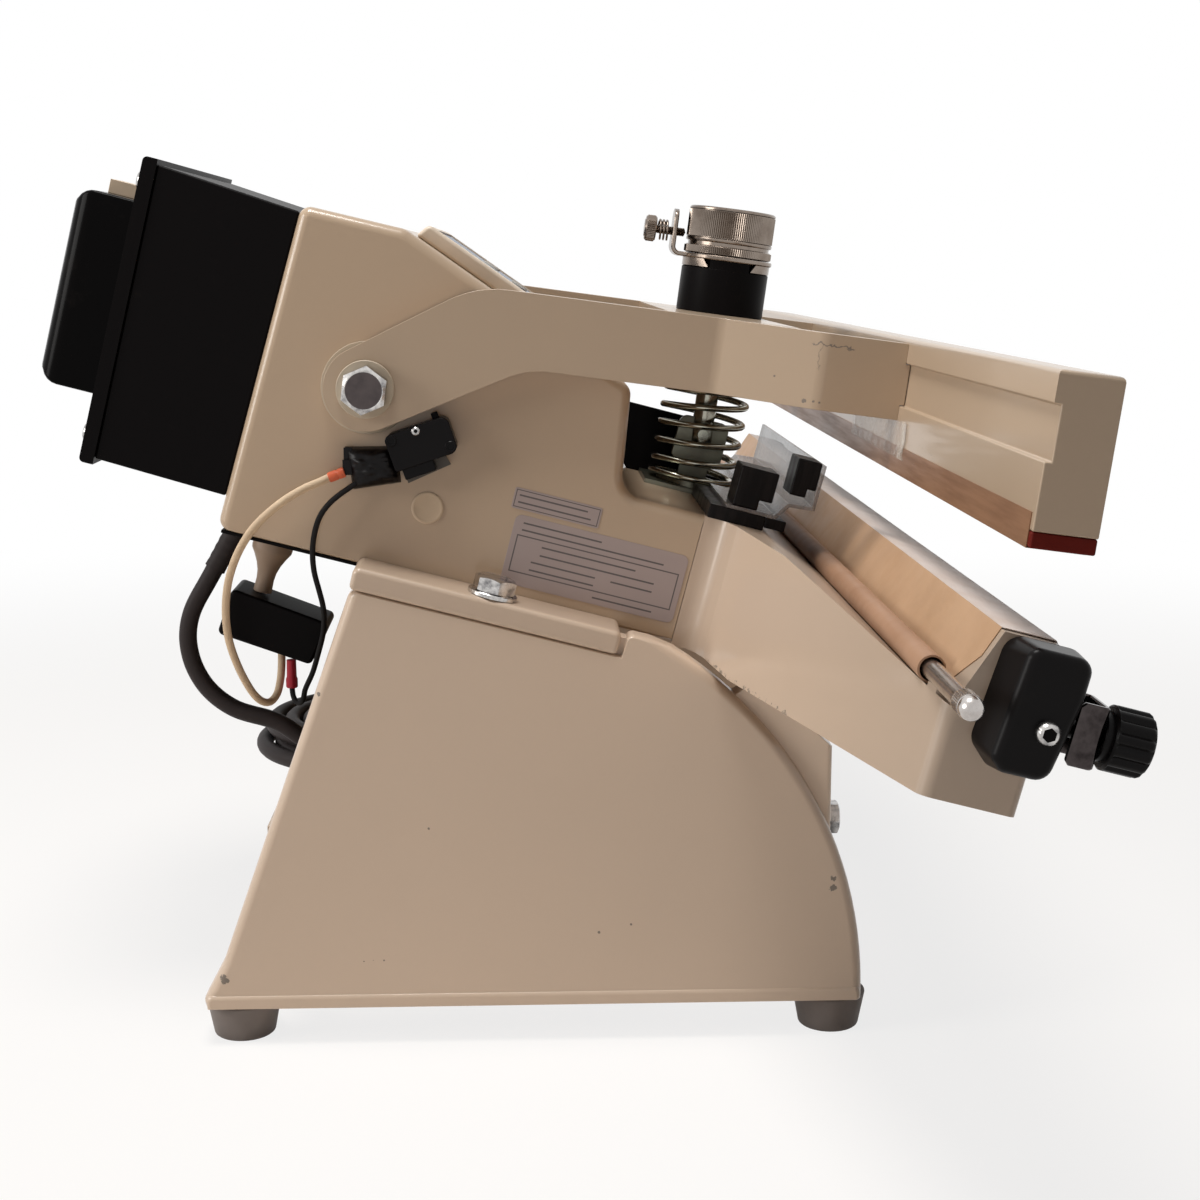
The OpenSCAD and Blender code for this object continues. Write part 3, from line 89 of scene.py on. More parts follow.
WORLD = Matrix.Identity(4)
UNIT = spot(PIVOT_X, 0, PIVOT_Z) @ rotated(TILT, "Y")
JAW = spot(PIVOT_X, 0, PIVOT_Z) @ rotated(TILT - OPEN, "Y")
CONSOLE = UNIT @ spot(0, 0, BODY_TOP) @ rotated(math.degrees(math.atan2(CONSOLE_DROP, CONSOLE_RUN)), "Y")
ALONG_X = rotated(90, "Y")


def on_unit(u, w):
    """A point of the tilted unit as (x, z) of the whole."""
    point = UNIT @ Vector((u, 0, w))
    return point.x, point.z


# Node graphs


class Graph:
    """A node tree, for shaders and for geometry."""

    def __init__(self, tree):
        self.tree = tree
        tree.nodes.clear()

    def node(self, kind, settings=None, **sockets):
        """Adds a node with its settings, then fills its sockets, by name or numbered as s0, s1 and so on."""
        made = self.tree.nodes.new(kind)
        for key, value in (settings or {}).items():
            setattr(made, key, value)
        for key, value in sockets.items():
            target = made.inputs[int(key[1:])] if key[1:].isdigit() else made.inputs[key.replace("_", " ")]
            value = value.socket if isinstance(value, Val) else value
            if isinstance(value, bpy.types.NodeSocket):
                self.tree.links.new(value, target)
            else:
                target.default_value = value
        return made

    def val(self, kind, settings=None, out=0, **sockets):
        """Adds a node and gives one of its outputs as a number."""
        return Val(self, self.node(kind, settings, **sockets).outputs[out])


class Val:
    """A number socket that takes part in Python sums."""

    def __init__(self, graph, socket):
        self.graph, self.socket = graph, socket

    def math(self, operation, *others):
        sockets = {f"s{i}": v for i, v in enumerate((self, *others))}
        return self.graph.val("ShaderNodeMath", {"operation": operation}, **sockets)

    def __add__(self, other):
        return self.math("ADD", other)

    def __sub__(self, other):
        return self.math("SUBTRACT", other)

    def __mul__(self, other):
        return self.math("MULTIPLY", other)

    def __rsub__(self, other):
        return self * -1.0 + other

    __radd__, __rmul__ = __add__, __mul__

    def over(self, low, high):
        """0 below low, 1 above high, smooth between."""
        settings = {"interpolation_type": "SMOOTHSTEP"}
        return self.graph.val("ShaderNodeMapRange", settings, s0=self, s1=low, s2=high, s3=0.0, s4=1.0)

    def within(self, low, high, soft):
        return self.over(low - soft, low) * (1.0 - self.over(high, high + soft))


class Finish(Graph):
    """A material made of a Principled shader and the patterns that feed it."""

    def __init__(self, name):
        self.material = bpy.data.materials.new(name)
        self.material.use_nodes = True
        super().__init__(self.material.node_tree)
        self.place = self.node("ShaderNodeTexCoord").outputs["Object"]

    def noise(self, size_mm, detail=3.0, rough=0.55, at=None):
        sockets = {"Scale": METRE / size_mm, "Detail": detail, "Roughness": rough}
        return self.val("ShaderNodeTexNoise", Vector=at or self.place, **sockets)

    def wave(self, size_mm, axis):
        sockets = {"Vector": self.place, "Scale": METRE / size_mm / WAVE_BANDS}
        return self.val("ShaderNodeTexWave", {"bands_direction": axis}, 1, **sockets)

    def framed(self, place):
        """Object coordinates as three numbers, in millimetres of one of the machine's frames."""
        axes = []
        for row in list(place.inverted())[:3]:
            way = tuple(share * METRE for share in row[:3])
            made = self.node("ShaderNodeVectorMath", {"operation": "DOT_PRODUCT"}, s0=self.place, s1=way)
            axes.append(Val(self, made.outputs["Value"]) + row[3])
        return axes

    def stretched(self, axes, shares):
        """Three axes of a frame, each scaled by its share, as a vector for a pattern."""
        x, y, z = (axis * (MM * share) for axis, share in zip(axes, shares))
        return self.node("ShaderNodeCombineXYZ", None, s0=x, s1=y, s2=z).outputs[0]

    def mix(self, share, low, high):
        low, high = (c if isinstance(c, bpy.types.NodeSocket) else (*c, 1) for c in (low, high))
        return self.node("ShaderNodeMix", {"data_type": "RGBA"}, s0=share, s6=low, s7=high).outputs[2]

    def done(self, colour, rough, bump, depth_mm, **fixed):
        """Ends the material. fixed are numbers that hold all over."""
        shader = self.node("ShaderNodeBsdfPrincipled")
        for key, value in fixed.items():
            shader.inputs[key.replace("_", " ")].default_value = value
        for key, value in (("Base Color", colour), ("Roughness", rough)):
            value = value.socket if isinstance(value, Val) else value
            self.tree.links.new(value, shader.inputs[key])
        relief = self.node("ShaderNodeBump", None, Height=bump, Distance=depth_mm * MM, Strength=1.0)
        self.tree.links.new(relief.outputs[0], shader.inputs["Normal"])
        self.node("ShaderNodeOutputMaterial", None, Surface=shader.outputs[0])
        return self.material


# Finishes

CREAM = (0.64, 0.503, 0.39)
# Painted shade: a darker, warmer copy of CREAM for the body, standing in for the warm shade on its sides.
SHADED_CREAM = (0.508, 0.378, 0.262)
BARE_METAL = (0.20, 0.165, 0.135)
DUST = (0.03, 0.024, 0.022)
INK = (0.03, 0.026, 0.028)
WEAVE_MM = 0.9


def darker(colour, share):
    return tuple(c * share for c in colour)


def enamel(name, tone=CREAM, chips=None, dull=None):
    """Cream gloss enamel with a faint orange peel, a drift of tone and, where chips is given, bare specks.

    Where dull is given, it tells how far the colour is darkened to paint in shade.
    """
    f = Finish(name)
    colour = f.mix(f.noise(140, 2.0) * 0.5 + f.noise(0.8, 2.0) * 0.2, tone, darker(tone, 0.9))
    rough = f.noise(60, 2.0) * 0.06 + 0.29
    # Painted shade: the colour darkens by the dull mask.
    if dull:
        colour = f.mix(dull(f), colour, darker(tone, 0.62))
    if chips:
        mask = chips(f)
        colour = f.mix(mask, colour, BARE_METAL)
        rough = rough + mask * 0.3
    fixed = {"IOR": 1.5, "Specular_IOR_Level": 0.4, "Coat_Weight": 0.4, "Coat_Roughness": 0.1}
    return f.done(colour, rough, f.noise(1.8, 2.0), 0.004, **fixed)


def black_plastic(name, rough, grain_mm=0.5, depth_mm=0.01, tone=0.0035, shine=0.05):
    """Black moulding with a fine grain and a little dust."""
    f = Finish(name)
    dust = f.noise(16, 5.0, 0.65).over(0.6, 0.85)
    colour = f.mix(dust * 0.25, (tone, tone * 0.78, tone * 0.82), DUST)
    sheen = dust * 0.07 + f.noise(45, 2.0) * 0.05 + rough
    return f.done(colour, sheen, f.noise(grain_mm, 2.0), depth_mm, IOR=1.5, Specular_IOR_Level=shine)


def metal(name, tone, rough, tint, blotch_mm):
    """Bare or plated metal, whose tone drifts to tint in blotches; on the bright zinc the strong dark blotches
    are painted reflections.
    """
    f = Finish(name)
    colour = f.mix(f.noise(blotch_mm, 4.0, 0.6).over(0.35, 0.75), tone, tint)
    sheen = f.noise(4, 3.0) * 0.05 + rough
    return f.done(colour, sheen, f.noise(1.5, 2.0), 0.002, Metallic=1.0)


def moulded(name, colour, rough, deep=0.85, grain_mm=0.6, shine=0.35):
    """Moulded plastic or rubber, darker by deep in places."""
    f = Finish(name)
    tone = f.mix(f.noise(20, 3.0).over(0.3, 0.75), colour, darker(colour, deep))
    sheen = f.noise(6, 3.0).over(0.4, 0.8) * 0.1 + rough
    return f.done(tone, sheen, f.noise(grain_mm, 2.0), 0.01, Specular_IOR_Level=shine)


def coated_cloth(name, colour, deep, crest=None):
    """Coated glass cloth: a fine weave, a drift of tone and, where crest is given, a paler ridge. The pale
    ribbon on the ridge top is real; the pale front fold is painted light against its shade.
    """
    f = Finish(name)
    weave = f.wave(WEAVE_MM, "Y") * 0.5 + f.wave(WEAVE_MM, "DIAGONAL") * 0.5
    tone = f.mix(f.noise(35, 4.0, 0.6).over(0.3, 0.75), colour, deep)
    tone = f.mix(weave * 0.12, tone, darker(deep, 0.7))
    if crest:
        u, _, w = f.framed(UNIT)
        # Painted light: besides the pale ribbon on the ridge top, the front fold past u 237 is made pale
        # against the shade it lies in.
        top = (w.over(-5.0, -4.2) * u.over(219.2, 219.8)).math("MAXIMUM", u.over(236.6, 237.4))
        tone = f.mix(top * (f.noise(30, 3.0).over(0.2, 0.7) * 0.3 + 0.7), tone, crest)
    return f.done(tone, f.noise(12, 3.0).over(0.3, 0.8) * 0.12 + 0.42, weave, 0.02, IOR=1.38)


def streaked(name, colour, deep, place, shares, size_mm, rough, shine):
    """A surface with rubbed streaks: shares scale the three axes of the frame place."""
    f = Finish(name)
    at = f.stretched(f.framed(place), shares)
    streak = f.noise(size_mm, 4.0, 0.6, at).over(0.35, 0.7)
    tone = f.mix(streak, colour, deep)
    return f.done(tone, streak * 0.12 + rough, f.noise(size_mm, 3.0, 0.6, at), 0.05, Specular_IOR_Level=shine)


def see_through(f, material, share):
    """Lets a finished material show what is behind it."""
    shader = next(n for n in f.tree.nodes if n.type == "BSDF_PRINCIPLED")
    f.tree.links.new(share.socket, shader.inputs["Alpha"])
    return material


def clear_plastic(name):
    """Clear plastic, greyed by rubbing in long streaks."""
    f = Finish(name)
    haze = f.noise(6, 4.0, 0.6, f.stretched(f.framed(UNIT), (1, 1, 0.15)))
    tone = f.mix(haze.over(0.35, 0.7), (0.17, 0.14, 0.13), (0.25, 0.215, 0.20))
    material = f.done(tone, haze * 0.08 + 0.14, haze, 0.02, Specular_IOR_Level=0.5)
    return see_through(f, material, haze.over(0.3, 0.7) * 0.14 + 0.54)


def thin_film(name):
    """Clear sticky film on the bar: hazy where it is whole, then a torn edge and a few loose shreds."""
    f = Finish(name)
    axes = f.framed(JAW)
    crease = f.noise(6, 5.0, 0.7)
    shreds = f.noise(2.2, 5.0, 0.7, f.stretched(axes, (1, 0.12, 1))).over(0.57, 0.7)
    reach = axes[1] + (f.noise(9, 5.0, 0.8) - 0.5) * 30.0
    whole = reach.over(-152.0, -151.0)
    rim = reach.within(-155.0, -150.0, 1.0)
    tone = f.mix(rim.math("MAXIMUM", shreds), (0.50, 0.41, 0.34), (0.74, 0.66, 0.56))
    material = f.done(tone, crease * 0.1 + 0.1, crease, 0.5, Specular_IOR_Level=0.4)
    loose = shreds * reach.over(-225.0, -160.0) * 0.3
    haze = whole * (crease.over(0.4, 0.7) * 0.25 + 0.1)
    return see_through(f, material, haze.math("MAXIMUM", rim * 0.45).math("MAXIMUM", loose))


def cord_skin(name, colour, rough=0.55, ribs_mm=None):
    """Cord sheath with dust and, where ribs_mm is given, a braid."""
    f = Finish(name)
    dust = f.noise(5, 4.0, 0.65).over(0.5, 0.8)
    tone = f.mix(dust * 0.3, colour, tuple(min(1, c * 1.6 + 0.01) for c in colour))
    relief = f.noise(1.2, 3.0)
    if ribs_mm:
        relief = relief * 0.3 + f.wave(ribs_mm, "Z") * 0.7
    return f.done(tone, dust * 0.1 + rough, relief, 0.03, Specular_IOR_Level=0.15)


def blank_plate(name):
    """Mauve-grey rating plate and tag, printed with frames and ruled lines only."""
    f = Finish(name)
    u, _, w = f.framed(UNIT)

    def ring(u0, u1, w0, w1, width=0.55):
        inside = u.within(u0 + width, u1 - width, 0.2) * w.within(w0 + width, w1 - width, 0.2)
        return u.within(u0, u1, 0.2) * w.within(w0, w1, 0.2) - inside

    ink = ring(75.5, 146.5, -60.5, -44.5) + ring(70.8, 107.2, -33.2, -25.8, 0.4)
    rules = (
        (77, 111, -39.2), (77, 139, -42.2), (87, 128, -47.6), (87, 137, -51.2), (84, 112, -54.8),
        (119, 137, -54.8), (84, 112, -58.2), (113, 139, -63.2), (72.5, 102, -28.0), (72.5, 104, -31.0),
    )
    for u0, u1, at in rules:
        ink = ink + u.within(u0, u1, 0.2) * w.within(at - 0.28, at + 0.28, 0.15)
    tone = f.mix(f.noise(30, 3.0), (0.41, 0.335, 0.325), (0.36, 0.29, 0.28))
    tone = f.mix(ink * 0.85, tone, INK)
    return f.done(tone, f.noise(8, 3.0) * 0.1 + 0.3, f.noise(0.5, 2.0), 0.004)


def wing_chips(f):
    """Flaked paint by the root of the wings, at the lower rear edge."""
    _, y, w = f.framed(UNIT)
    out = y.math("ABSOLUTE")
    edge = (out - 150.0).math("MAXIMUM", 0.0) * 0.078 - 75.0
    near_edge = (1.0 - (w - edge).over(1.0, 5.0)) * out.within(118.0, 215.0, 12.0)
    return (near_edge * f.noise(5, 5.0, 0.75)).over(0.52, 0.57)


def wing_painted_shade(f):
    """Painted shade: the wings darken towards their ends, where less light reaches them."""
    out = f.framed(UNIT)[1].math("ABSOLUTE")
    return out.over(170.0, 345.0) * 0.55


def knocks(f, place, spots, grain_mm=2.2):
    """Ragged marks at (x, z, reach) points of a frame."""
    x, _, z = f.framed(place)
    near_by = None
    for at_x, at_z, reach in spots:
        dx, dz = x - at_x, z - at_z
        here = 1.0 - ((dx * dx + dz * dz).math("SQRT") * (1 / reach)).over(0.0, 1.0)
        near_by = here if near_by is None else near_by.math("MAXIMUM", here)
    return (near_by * f.noise(grain_mm, 5.0, 0.75)).over(0.36, 0.40)


def base_chips(f):
    """Bare specks at the foot of the cheeks, and a few knocks."""
    z = f.framed(WORLD)[2]
    foot = ((1.0 - z.over(16.0, 21.0)) * f.noise(9, 5.0, 0.75)).over(0.62, 0.67)
    spots = (
        (137.2, 66.6, 4.5), (137.4, 71, 3.5), (-78.8, 153.3, 2.4), (-34, 95.2, 1.6), (37.5, 48.4, 1.8),
        (51.1, 51.7, 1.5), (-122, 29.3, 6), (-62.5, 36.9, 1.4), (-58.6, 37.3, 1.2), (-54, 37.1, 1.4),
    )
    return foot.math("MAXIMUM", knocks(f, WORLD, spots))


def arm_chips(f):
    """A crack in the paint of the arm and a few knocks."""
    u, _, w = f.framed(JAW)
    wander = (f.noise(9, 4.0, 0.7) - 0.5) * 9.0
    crack = 1.0 - (w - 42.6 + wander).math("ABSOLUTE").over(0.15, 0.45)
    fork = 1.0 - (u - 181.0 + wander).math("ABSOLUTE").over(0.1, 0.35)
    lines = (crack * u.within(178.0, 194.0, 1.0)).math("MAXIMUM", fork * w.within(33.0, 43.0, 1.0) * 0.6)
    spots = ((165, 27.5, 1.3), (177.5, 19.4, 2.4), (181, 19.8, 1.8), (183.5, 19.6, 1.4))
    return lines.math("MAXIMUM", knocks(f, JAW, spots, 3.0))


def make_finishes():
    return {
        # Painted shade: the body's enamel takes the darker, warmer copy of the cream.
        "enamel": enamel("cream enamel", SHADED_CREAM),
        "enamel_base": enamel("cream enamel of the base", CREAM, base_chips),
        "enamel_seat": enamel("cream enamel of the seat", (0.57, 0.443, 0.34)),
        # Painted shade: a darker copy of the cream enamel for the beam, darkened further towards the wing
        # ends; its chips are real.
        "shaded_enamel_beam": enamel("cream enamel of the beam", (0.575, 0.448, 0.345), wing_chips, wing_painted_shade),
        # Painted shade: a darker, warmer copy of the cream enamel for the arm and upper bar; its crack and
        # knocks are real.
        "shaded_enamel_arm": enamel("shaded cream enamel of the arm", (0.48, 0.363, 0.257), arm_chips),
        # Painted light: a lighter copy of the cream enamel for the panels between the cheeks, which lie in
        # shade under the wings.
        "lit_enamel_panel": enamel("lit cream enamel of the panel", (0.80, 0.645, 0.51)),
        # Painted light: a lighter copy of the cream moulding for the bezel, raised to the brightness of its
        # lit top edge.
        "bezel": moulded("lit cream bezel", (0.84, 0.72, 0.59), 0.4),
        "cream_plastic": moulded("cream moulding", (0.66, 0.52, 0.38), 0.4),
        # Painted shade: a darker copy of the cream moulding for the post under the body, which stands in
        # shadow.
        "shaded_plastic": moulded("cream post", (0.36, 0.26, 0.19), 0.4),
        "pale_nylon": moulded("pale nylon", (0.52, 0.44, 0.34), 0.5),
        "black_satin": black_plastic("black satin", 0.36),
        "black_gloss": black_plastic("black gloss", 0.15, 1.5, 0.003, 0.002, 0.04),
        "black_grip": black_plastic("black grip", 0.29, 0.8, 0.01, 0.004, 0.10),
        "black_block": streaked(
            "rubbed black block", (0.004, 0.003, 0.003), (0.011, 0.009, 0.009), UNIT, (1, 1, 0.12), 2.5, 0.3,
            0.08,
        ),
        "tape_black": black_plastic("black wrap", 0.29, 3.0, 0.08, 0.005, 0.14),
        # Painted reflection: the bright zinc breaks into strong dark blotches that stand in for reflections on
        # the bolts and screws.
        "steel": metal("bright zinc with painted reflections", (0.62, 0.60, 0.58), 0.18, (0.13, 0.125, 0.13), 5),
        # Painted reflection: the dished faces of the pivot bolts are darkened to the dark reflection they
        # show.
        "bolt_face": metal("bolt face, painted dark reflection", (0.085, 0.07, 0.068), 0.2, (0.06, 0.05, 0.05), 6),
        "brushed": metal("brushed steel", (0.46, 0.445, 0.43), 0.22, (0.39, 0.375, 0.36), 14),
        # Painted reflection: the polished steel of the brackets is darkened to the dark reflection they show.
        "stainless": metal("darkened polished steel", (0.062, 0.052, 0.051), 0.14, (0.016, 0.013, 0.013), 7),
        "rod": metal("rod steel", (0.60, 0.565, 0.54), 0.2, (0.40, 0.37, 0.35), 12),
        "plated": metal("nickel plate", (0.27, 0.225, 0.19), 0.19, (0.17, 0.135, 0.11), 12),
        "olive_zinc": metal("olive zinc", (0.44, 0.435, 0.36), 0.14, (0.25, 0.225, 0.19), 12),
        "dull_zinc": metal("dull zinc", (0.20, 0.20, 0.155), 0.34, (0.15, 0.14, 0.11), 16),
        "plate": blank_plate("bare plate"),
        "film": moulded("panel film", (0.17, 0.20, 0.27), 0.35),
        "key": moulded("panel keys", (0.50, 0.47, 0.42), 0.4),
        "board": moulded("circuit board", (0.02, 0.12, 0.05), 0.4),
        "core": moulded("varnished core", (0.09, 0.08, 0.07), 0.5),
        "silicone": moulded("red silicone", (0.13, 0.012, 0.008), 0.42, 0.7, 0.6, 0.08),
        "tape": streaked(
            "brown tape", (0.28, 0.15, 0.085), (0.19, 0.098, 0.055), JAW, (1, 0.06, 1), 4, 0.32, 0.2
        ),
        # The crest tone serves the real pale ribbon and, on the front fold, painted light.
        "sheet": coated_cloth("tan sheet", (0.52, 0.335, 0.205), (0.45, 0.28, 0.165), (0.74, 0.64, 0.59)),
        "roll": coated_cloth("rolled sheet", (0.42, 0.25, 0.16), (0.36, 0.205, 0.125)),
        "clear": clear_plastic("clear guard"),
        "clear_tape": thin_film("clear tape"),
        "foot": moulded("foot rubber", (0.19, 0.165, 0.155), 0.6, 0.8),
        "red": moulded("red insulation", (0.43, 0.014, 0.035), 0.35),
        "orange": moulded("orange insulation", (0.66, 0.13, 0.055), 0.4),
        "cord": cord_skin("mains cord", (0.034, 0.027, 0.027)),
        "thin_cord": cord_skin("black sleeve", (0.007, 0.006, 0.006), 0.6, 1.2),
        "pale_cord": cord_skin("pale sleeve", (0.66, 0.51, 0.36), 0.7, 0.9),
    }


# Mesh helpers, in millimetres

FLAT_ANGLE = math.radians(35)
CAD_FACET = math.radians(0.6)


def new_object(name, data):
    made = bpy.data.objects.new(name, data)
    bpy.context.scene.collection.objects.link(made)
    return made


def evaluated_mesh(carrier):
    """The mesh that a carrier's modifiers make; the carrier itself goes."""
    depsgraph = bpy.context.evaluated_depsgraph_get()
    mesh = bpy.data.meshes.new_from_object(carrier.evaluated_get(depsgraph))
    bpy.data.objects.remove(carrier)
    return mesh


def add_piece(name, bm, body, finish, replaces=(), smooth_deg=38, turn=True):
    """Ends a piece: to metres, sharp edges marked, normals weighted, set on its body.

    turn merges doubles and points the faces outwards; a copy of a CAD node needs neither.
    """
    if turn:
        bmesh.ops.remove_doubles(bm, verts=bm.verts, dist=1e-4)
        bmesh.ops.recalc_face_normals(bm, faces=bm.faces)
    bmesh.ops.transform(bm, matrix=Matrix.Scale(MM, 4), verts=bm.verts)
    for face in bm.faces:
        face.smooth = True
    limit = math.radians(smooth_deg)
    for edge in bm.edges:
        edge.smooth = len(edge.link_faces) == 2 and edge.calc_face_angle(0) < limit
    raw = bpy.data.meshes.new(name)
    bm.to_mesh(raw)
    bm.free()
    carrier = new_object(name + "_raw", raw)
    carrier.modifiers.new("weighted", "WEIGHTED_NORMAL").keep_sharp = True
    mesh = evaluated_mesh(carrier)
    mesh.name = name
    mesh.materials.clear()
    mesh.materials.append(finish)
    piece = new_object(name, mesh)
    if body:
        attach(piece, body)
    if replaces:
        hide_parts(*replaces)
    return piece


def round_edges(bm, edges, width, segments):
    return bmesh.ops.bevel(
        bm, geom=edges, offset=width, segments=segments, profile=0.5, affect="EDGES", clamp_overlap=True
    )


def soften(bm, place, rules, segments):
    """Rounds edges. A rule is a width and a test of an edge's ends and normals; the first that fits counts.

    The tests see the edge in the frame of place.
    """
    back = place.inverted()
    turn = back.to_3x3()
    picked = [[] for _ in rules]
    for edge in bm.edges:
        if len(edge.link_faces) != 2 or edge.calc_face_angle(0) < FLAT_ANGLE:
            continue
        a, b = (back @ v.co for v in edge.verts)
        normals = [turn @ f.normal for f in edge.link_faces]
        for group, (_, test) in zip(picked, rules):
            if test(a, b, normals):
                group.append(edge)
                break
    for (width, _), edges in zip(rules, picked):
        live = [e for e in edges if e.is_valid]
        if live and width:
            round_edges(bm, live, width, segments)


def any_edge(a, b, normals):
    return True


def on_side(y):
    """Edges on either of two walls across Y."""
    return lambda a, b, n: abs(abs(a.y) - y) < 0.05 and abs(abs(b.y) - y) < 0.05


def near(u, w, r):
    """Edges about an axis along Y, such as those of a bore."""
    return lambda a, b, n: math.hypot(a.x - u, a.z - w) < r and math.hypot(b.x - u, b.z - w) < r


def ahead_of(x):
    return lambda a, b, n: min(a.x, b.x) > x


def behind(x):
    return lambda a, b, n: max(a.x, b.x) < x


def above(z):
    return lambda a, b, n: min(a.z, b.z) > z


def cad_copy(node):
    """A CAD node's mesh in millimetres, its doubles merged and its flat faces joined."""
    bm = bmesh.new()
    bm.from_mesh(bpy.data.objects[node].data)
    bmesh.ops.transform(bm, matrix=Matrix.Scale(METRE, 4), verts=bm.verts)
    bmesh.ops.remove_doubles(bm, verts=bm.verts, dist=2e-3)
    bmesh.ops.dissolve_limit(bm, angle_limit=CAD_FACET, verts=bm.verts, edges=bm.edges)
    return bm


def dress(node, finish, rim, body="frame", place=WORLD, rules=(), segments=3):
    """A copy of a CAD node in the node's stead, its edges rounded by rules and all others by rim."""
    bm = cad_copy(node)
    soften(bm, place, (*rules, (rim, any_edge)), segments)
    add_piece(node + "_dress", bm, body, finish, (node,), turn=False)


def turned(bm, profile, place, steps=64):
    """Adds a solid turned about Z of place from (radius, height) points; both may follow the angle."""
    rings = []
    for radius, height in profile:
        row = []
        for i in range(steps):
            a = TAU * i / steps
            r = radius(a) if callable(radius) else radius
            h = height(a) if callable(height) else height
            row.append((r * math.cos(a), r * math.sin(a), h))
        rings.append([bm.verts.new(place @ Vector(p)) for p in (row if radius else row[:1])])
    for low, high in zip(rings, rings[1:]):
        for i in range(steps):
            j = (i + 1) % steps
            corners = [low[i % len(low)], low[j % len(low)], high[j % len(high)], high[i % len(high)]]
            bm.faces.new(list(dict.fromkeys(corners)))
    return bm


def hexagon(across):
    """Radius of a hexagon by angle."""
    return lambda a: across / 2 / math.cos((a + math.pi / 6) % (math.pi / 3) - math.pi / 6)


def cross_slot(length, width):
    """Radius of a cross recess by angle."""

    def radius(a):
        c, s = abs(math.cos(a)) + 1e-6, abs(math.sin(a)) + 1e-6
        return max(min(length / c, width / s), min(length / s, width / c)) / 2

    return radius


def hex_head(bm, place, across, height, face=None):
    """Hex head with a turned chamfer, standing on Z of place; its dished face goes to face, if given."""
    reach = hexagon(across)
    flat = across / 2 * 0.9

    def low(a):
        return 0.35 * (reach(a) - across / 2)

    def top(a):
        return height - 0.5 * max(reach(a) - flat, 0)

    dish = [(flat, height), (flat * 0.96, height - 0.15), (0, height - 0.15)]
    if face is not None:
        under, over = height - 0.14, height - 0.04
        turned(face, [(0, under), (flat * 0.95, under), (flat * 0.94, over), (0, over)], place)
    return turned(bm, [(0, 0), (across * 0.45, 0), (reach, low), (reach, top), *dish], place, 96)


def washer(bm, place, outer, inner, thick):
    """Flat ring on Z of place, by its radii."""
    edge = min(0.3, thick / 4)
    rim = [(outer - edge, 0), (outer, edge), (outer, thick - edge), (outer - edge, thick)]
    return turned(bm, [(inner, 0), *rim, (inner, thick), (inner, 0)], place, 72)


def pan_screw(bm, place, d, h, recess=None):
    """Round head of diameter d and height h, with a cross recess if no other is given."""
    hole = recess or cross_slot(d * 0.55, d * 0.16)
    dome = [(0, 0), (d / 2, 0), (d / 2, h * 0.45), (d * 0.44, h * 0.8), (d * 0.36, h)]
    return turned(bm, [*dome, (hole, h), (hole, h * 0.35), (0, h * 0.35)], place, 72)


def skin(bm, rows, place=WORLD):
    """Joins closed rows of points into a solid."""
    rings = [[bm.verts.new(place @ Vector(p)) for p in row] for row in rows]
    count = len(rings[0])
    for low, high in zip(rings, rings[1:]):
        for i in range(count):
            j = (i + 1) % count
            bm.faces.new([low[i], low[j], high[j], high[i]])
    bm.faces.new(rings[0][::-1])
    bm.faces.new(rings[-1])
    return bm


def sector(bm, place, r0, r1, a0, a1, low, high, bevel, steps=24):
    """Part of a ring between two angles, its ends slanted by bevel; angles are in degrees."""
    rows = []
    for i in range(steps + 1):
        a = math.radians(a0 + (a1 - a0) * i / steps)
        slant = math.radians(bevel) * (1 - 2 * i / steps)
        corners = ((r0, low, a - slant), (r1, low, a - slant), (r1, high, a + slant), (r0, high, a + slant))
        rows.append([(r * math.cos(t), r * math.sin(t), h) for r, h, t in corners])
    return skin(bm, rows, place)


def smooth_route(points, step=1.5):
    """A Catmull-Rom line through points, resampled evenly."""
    pts = [Vector(p) for p in points]
    ends = [2 * pts[0] - pts[1], *pts, 2 * pts[-1] - pts[-2]]
    fine = []
    for p0, p1, p2, p3 in zip(ends, ends[1:], ends[2:], ends[3:]):
        count = max(2, int((p2 - p1).length / step))
        for i in range(count):
            t = i / count
            a, b, c = p2 - p0, 2 * p0 - 5 * p1 + 4 * p2 - p3, 3 * p1 - p0 - 3 * p2 + p3
            fine.append(p1 + 0.5 * (a * t + b * t**2 + c * t**3))
    return fine + [pts[-1]]


def tube(bm, path, radius, sides=16, place=WORLD):
    """Adds a round tube along path."""
    rows = []
    side = None
    for i, point in enumerate(path):
        way = (path[min(i + 1, len(path) - 1)] - path[max(i - 1, 0)]).normalized()
        side = way.orthogonal() if side is None else side - way * side.dot(way)
        side.normalize()
        up = way.cross(side)
        spokes = [math.cos(TAU * k / sides) * side + math.sin(TAU * k / sides) * up for k in range(sides)]
        rows.append([point + radius * s for s in spokes])
    return skin(bm, rows, place)


def eased(points, radius, steps=6, gap=1.0):
    """An open line with its corners rounded and its straights cut into short steps."""
    pts = [Vector(p) for p in points]
    line = [pts[0]]
    for a, b, c in zip(pts, pts[1:], pts[2:]):
        p, q = (a - b).normalized(), (c - b).normalized()
        half = p.angle(q) / 2
        reach = radius / math.tan(half)
        hub = b + (p + q).normalized() * radius / math.sin(half)
        first, last = b + p * reach - hub, b + q * reach - hub
        for k in range(steps + 1):
            arm = first.lerp(last, k / steps)
            line.append(hub + arm.normalized() * radius)
    line.append(pts[-1])
    fine = []
    for a, b in zip(line, line[1:]):
        count = max(1, int((b - a).length / gap))
        fine += [a.lerp(b, i / count) for i in range(count)]
    return fine + [line[-1]]


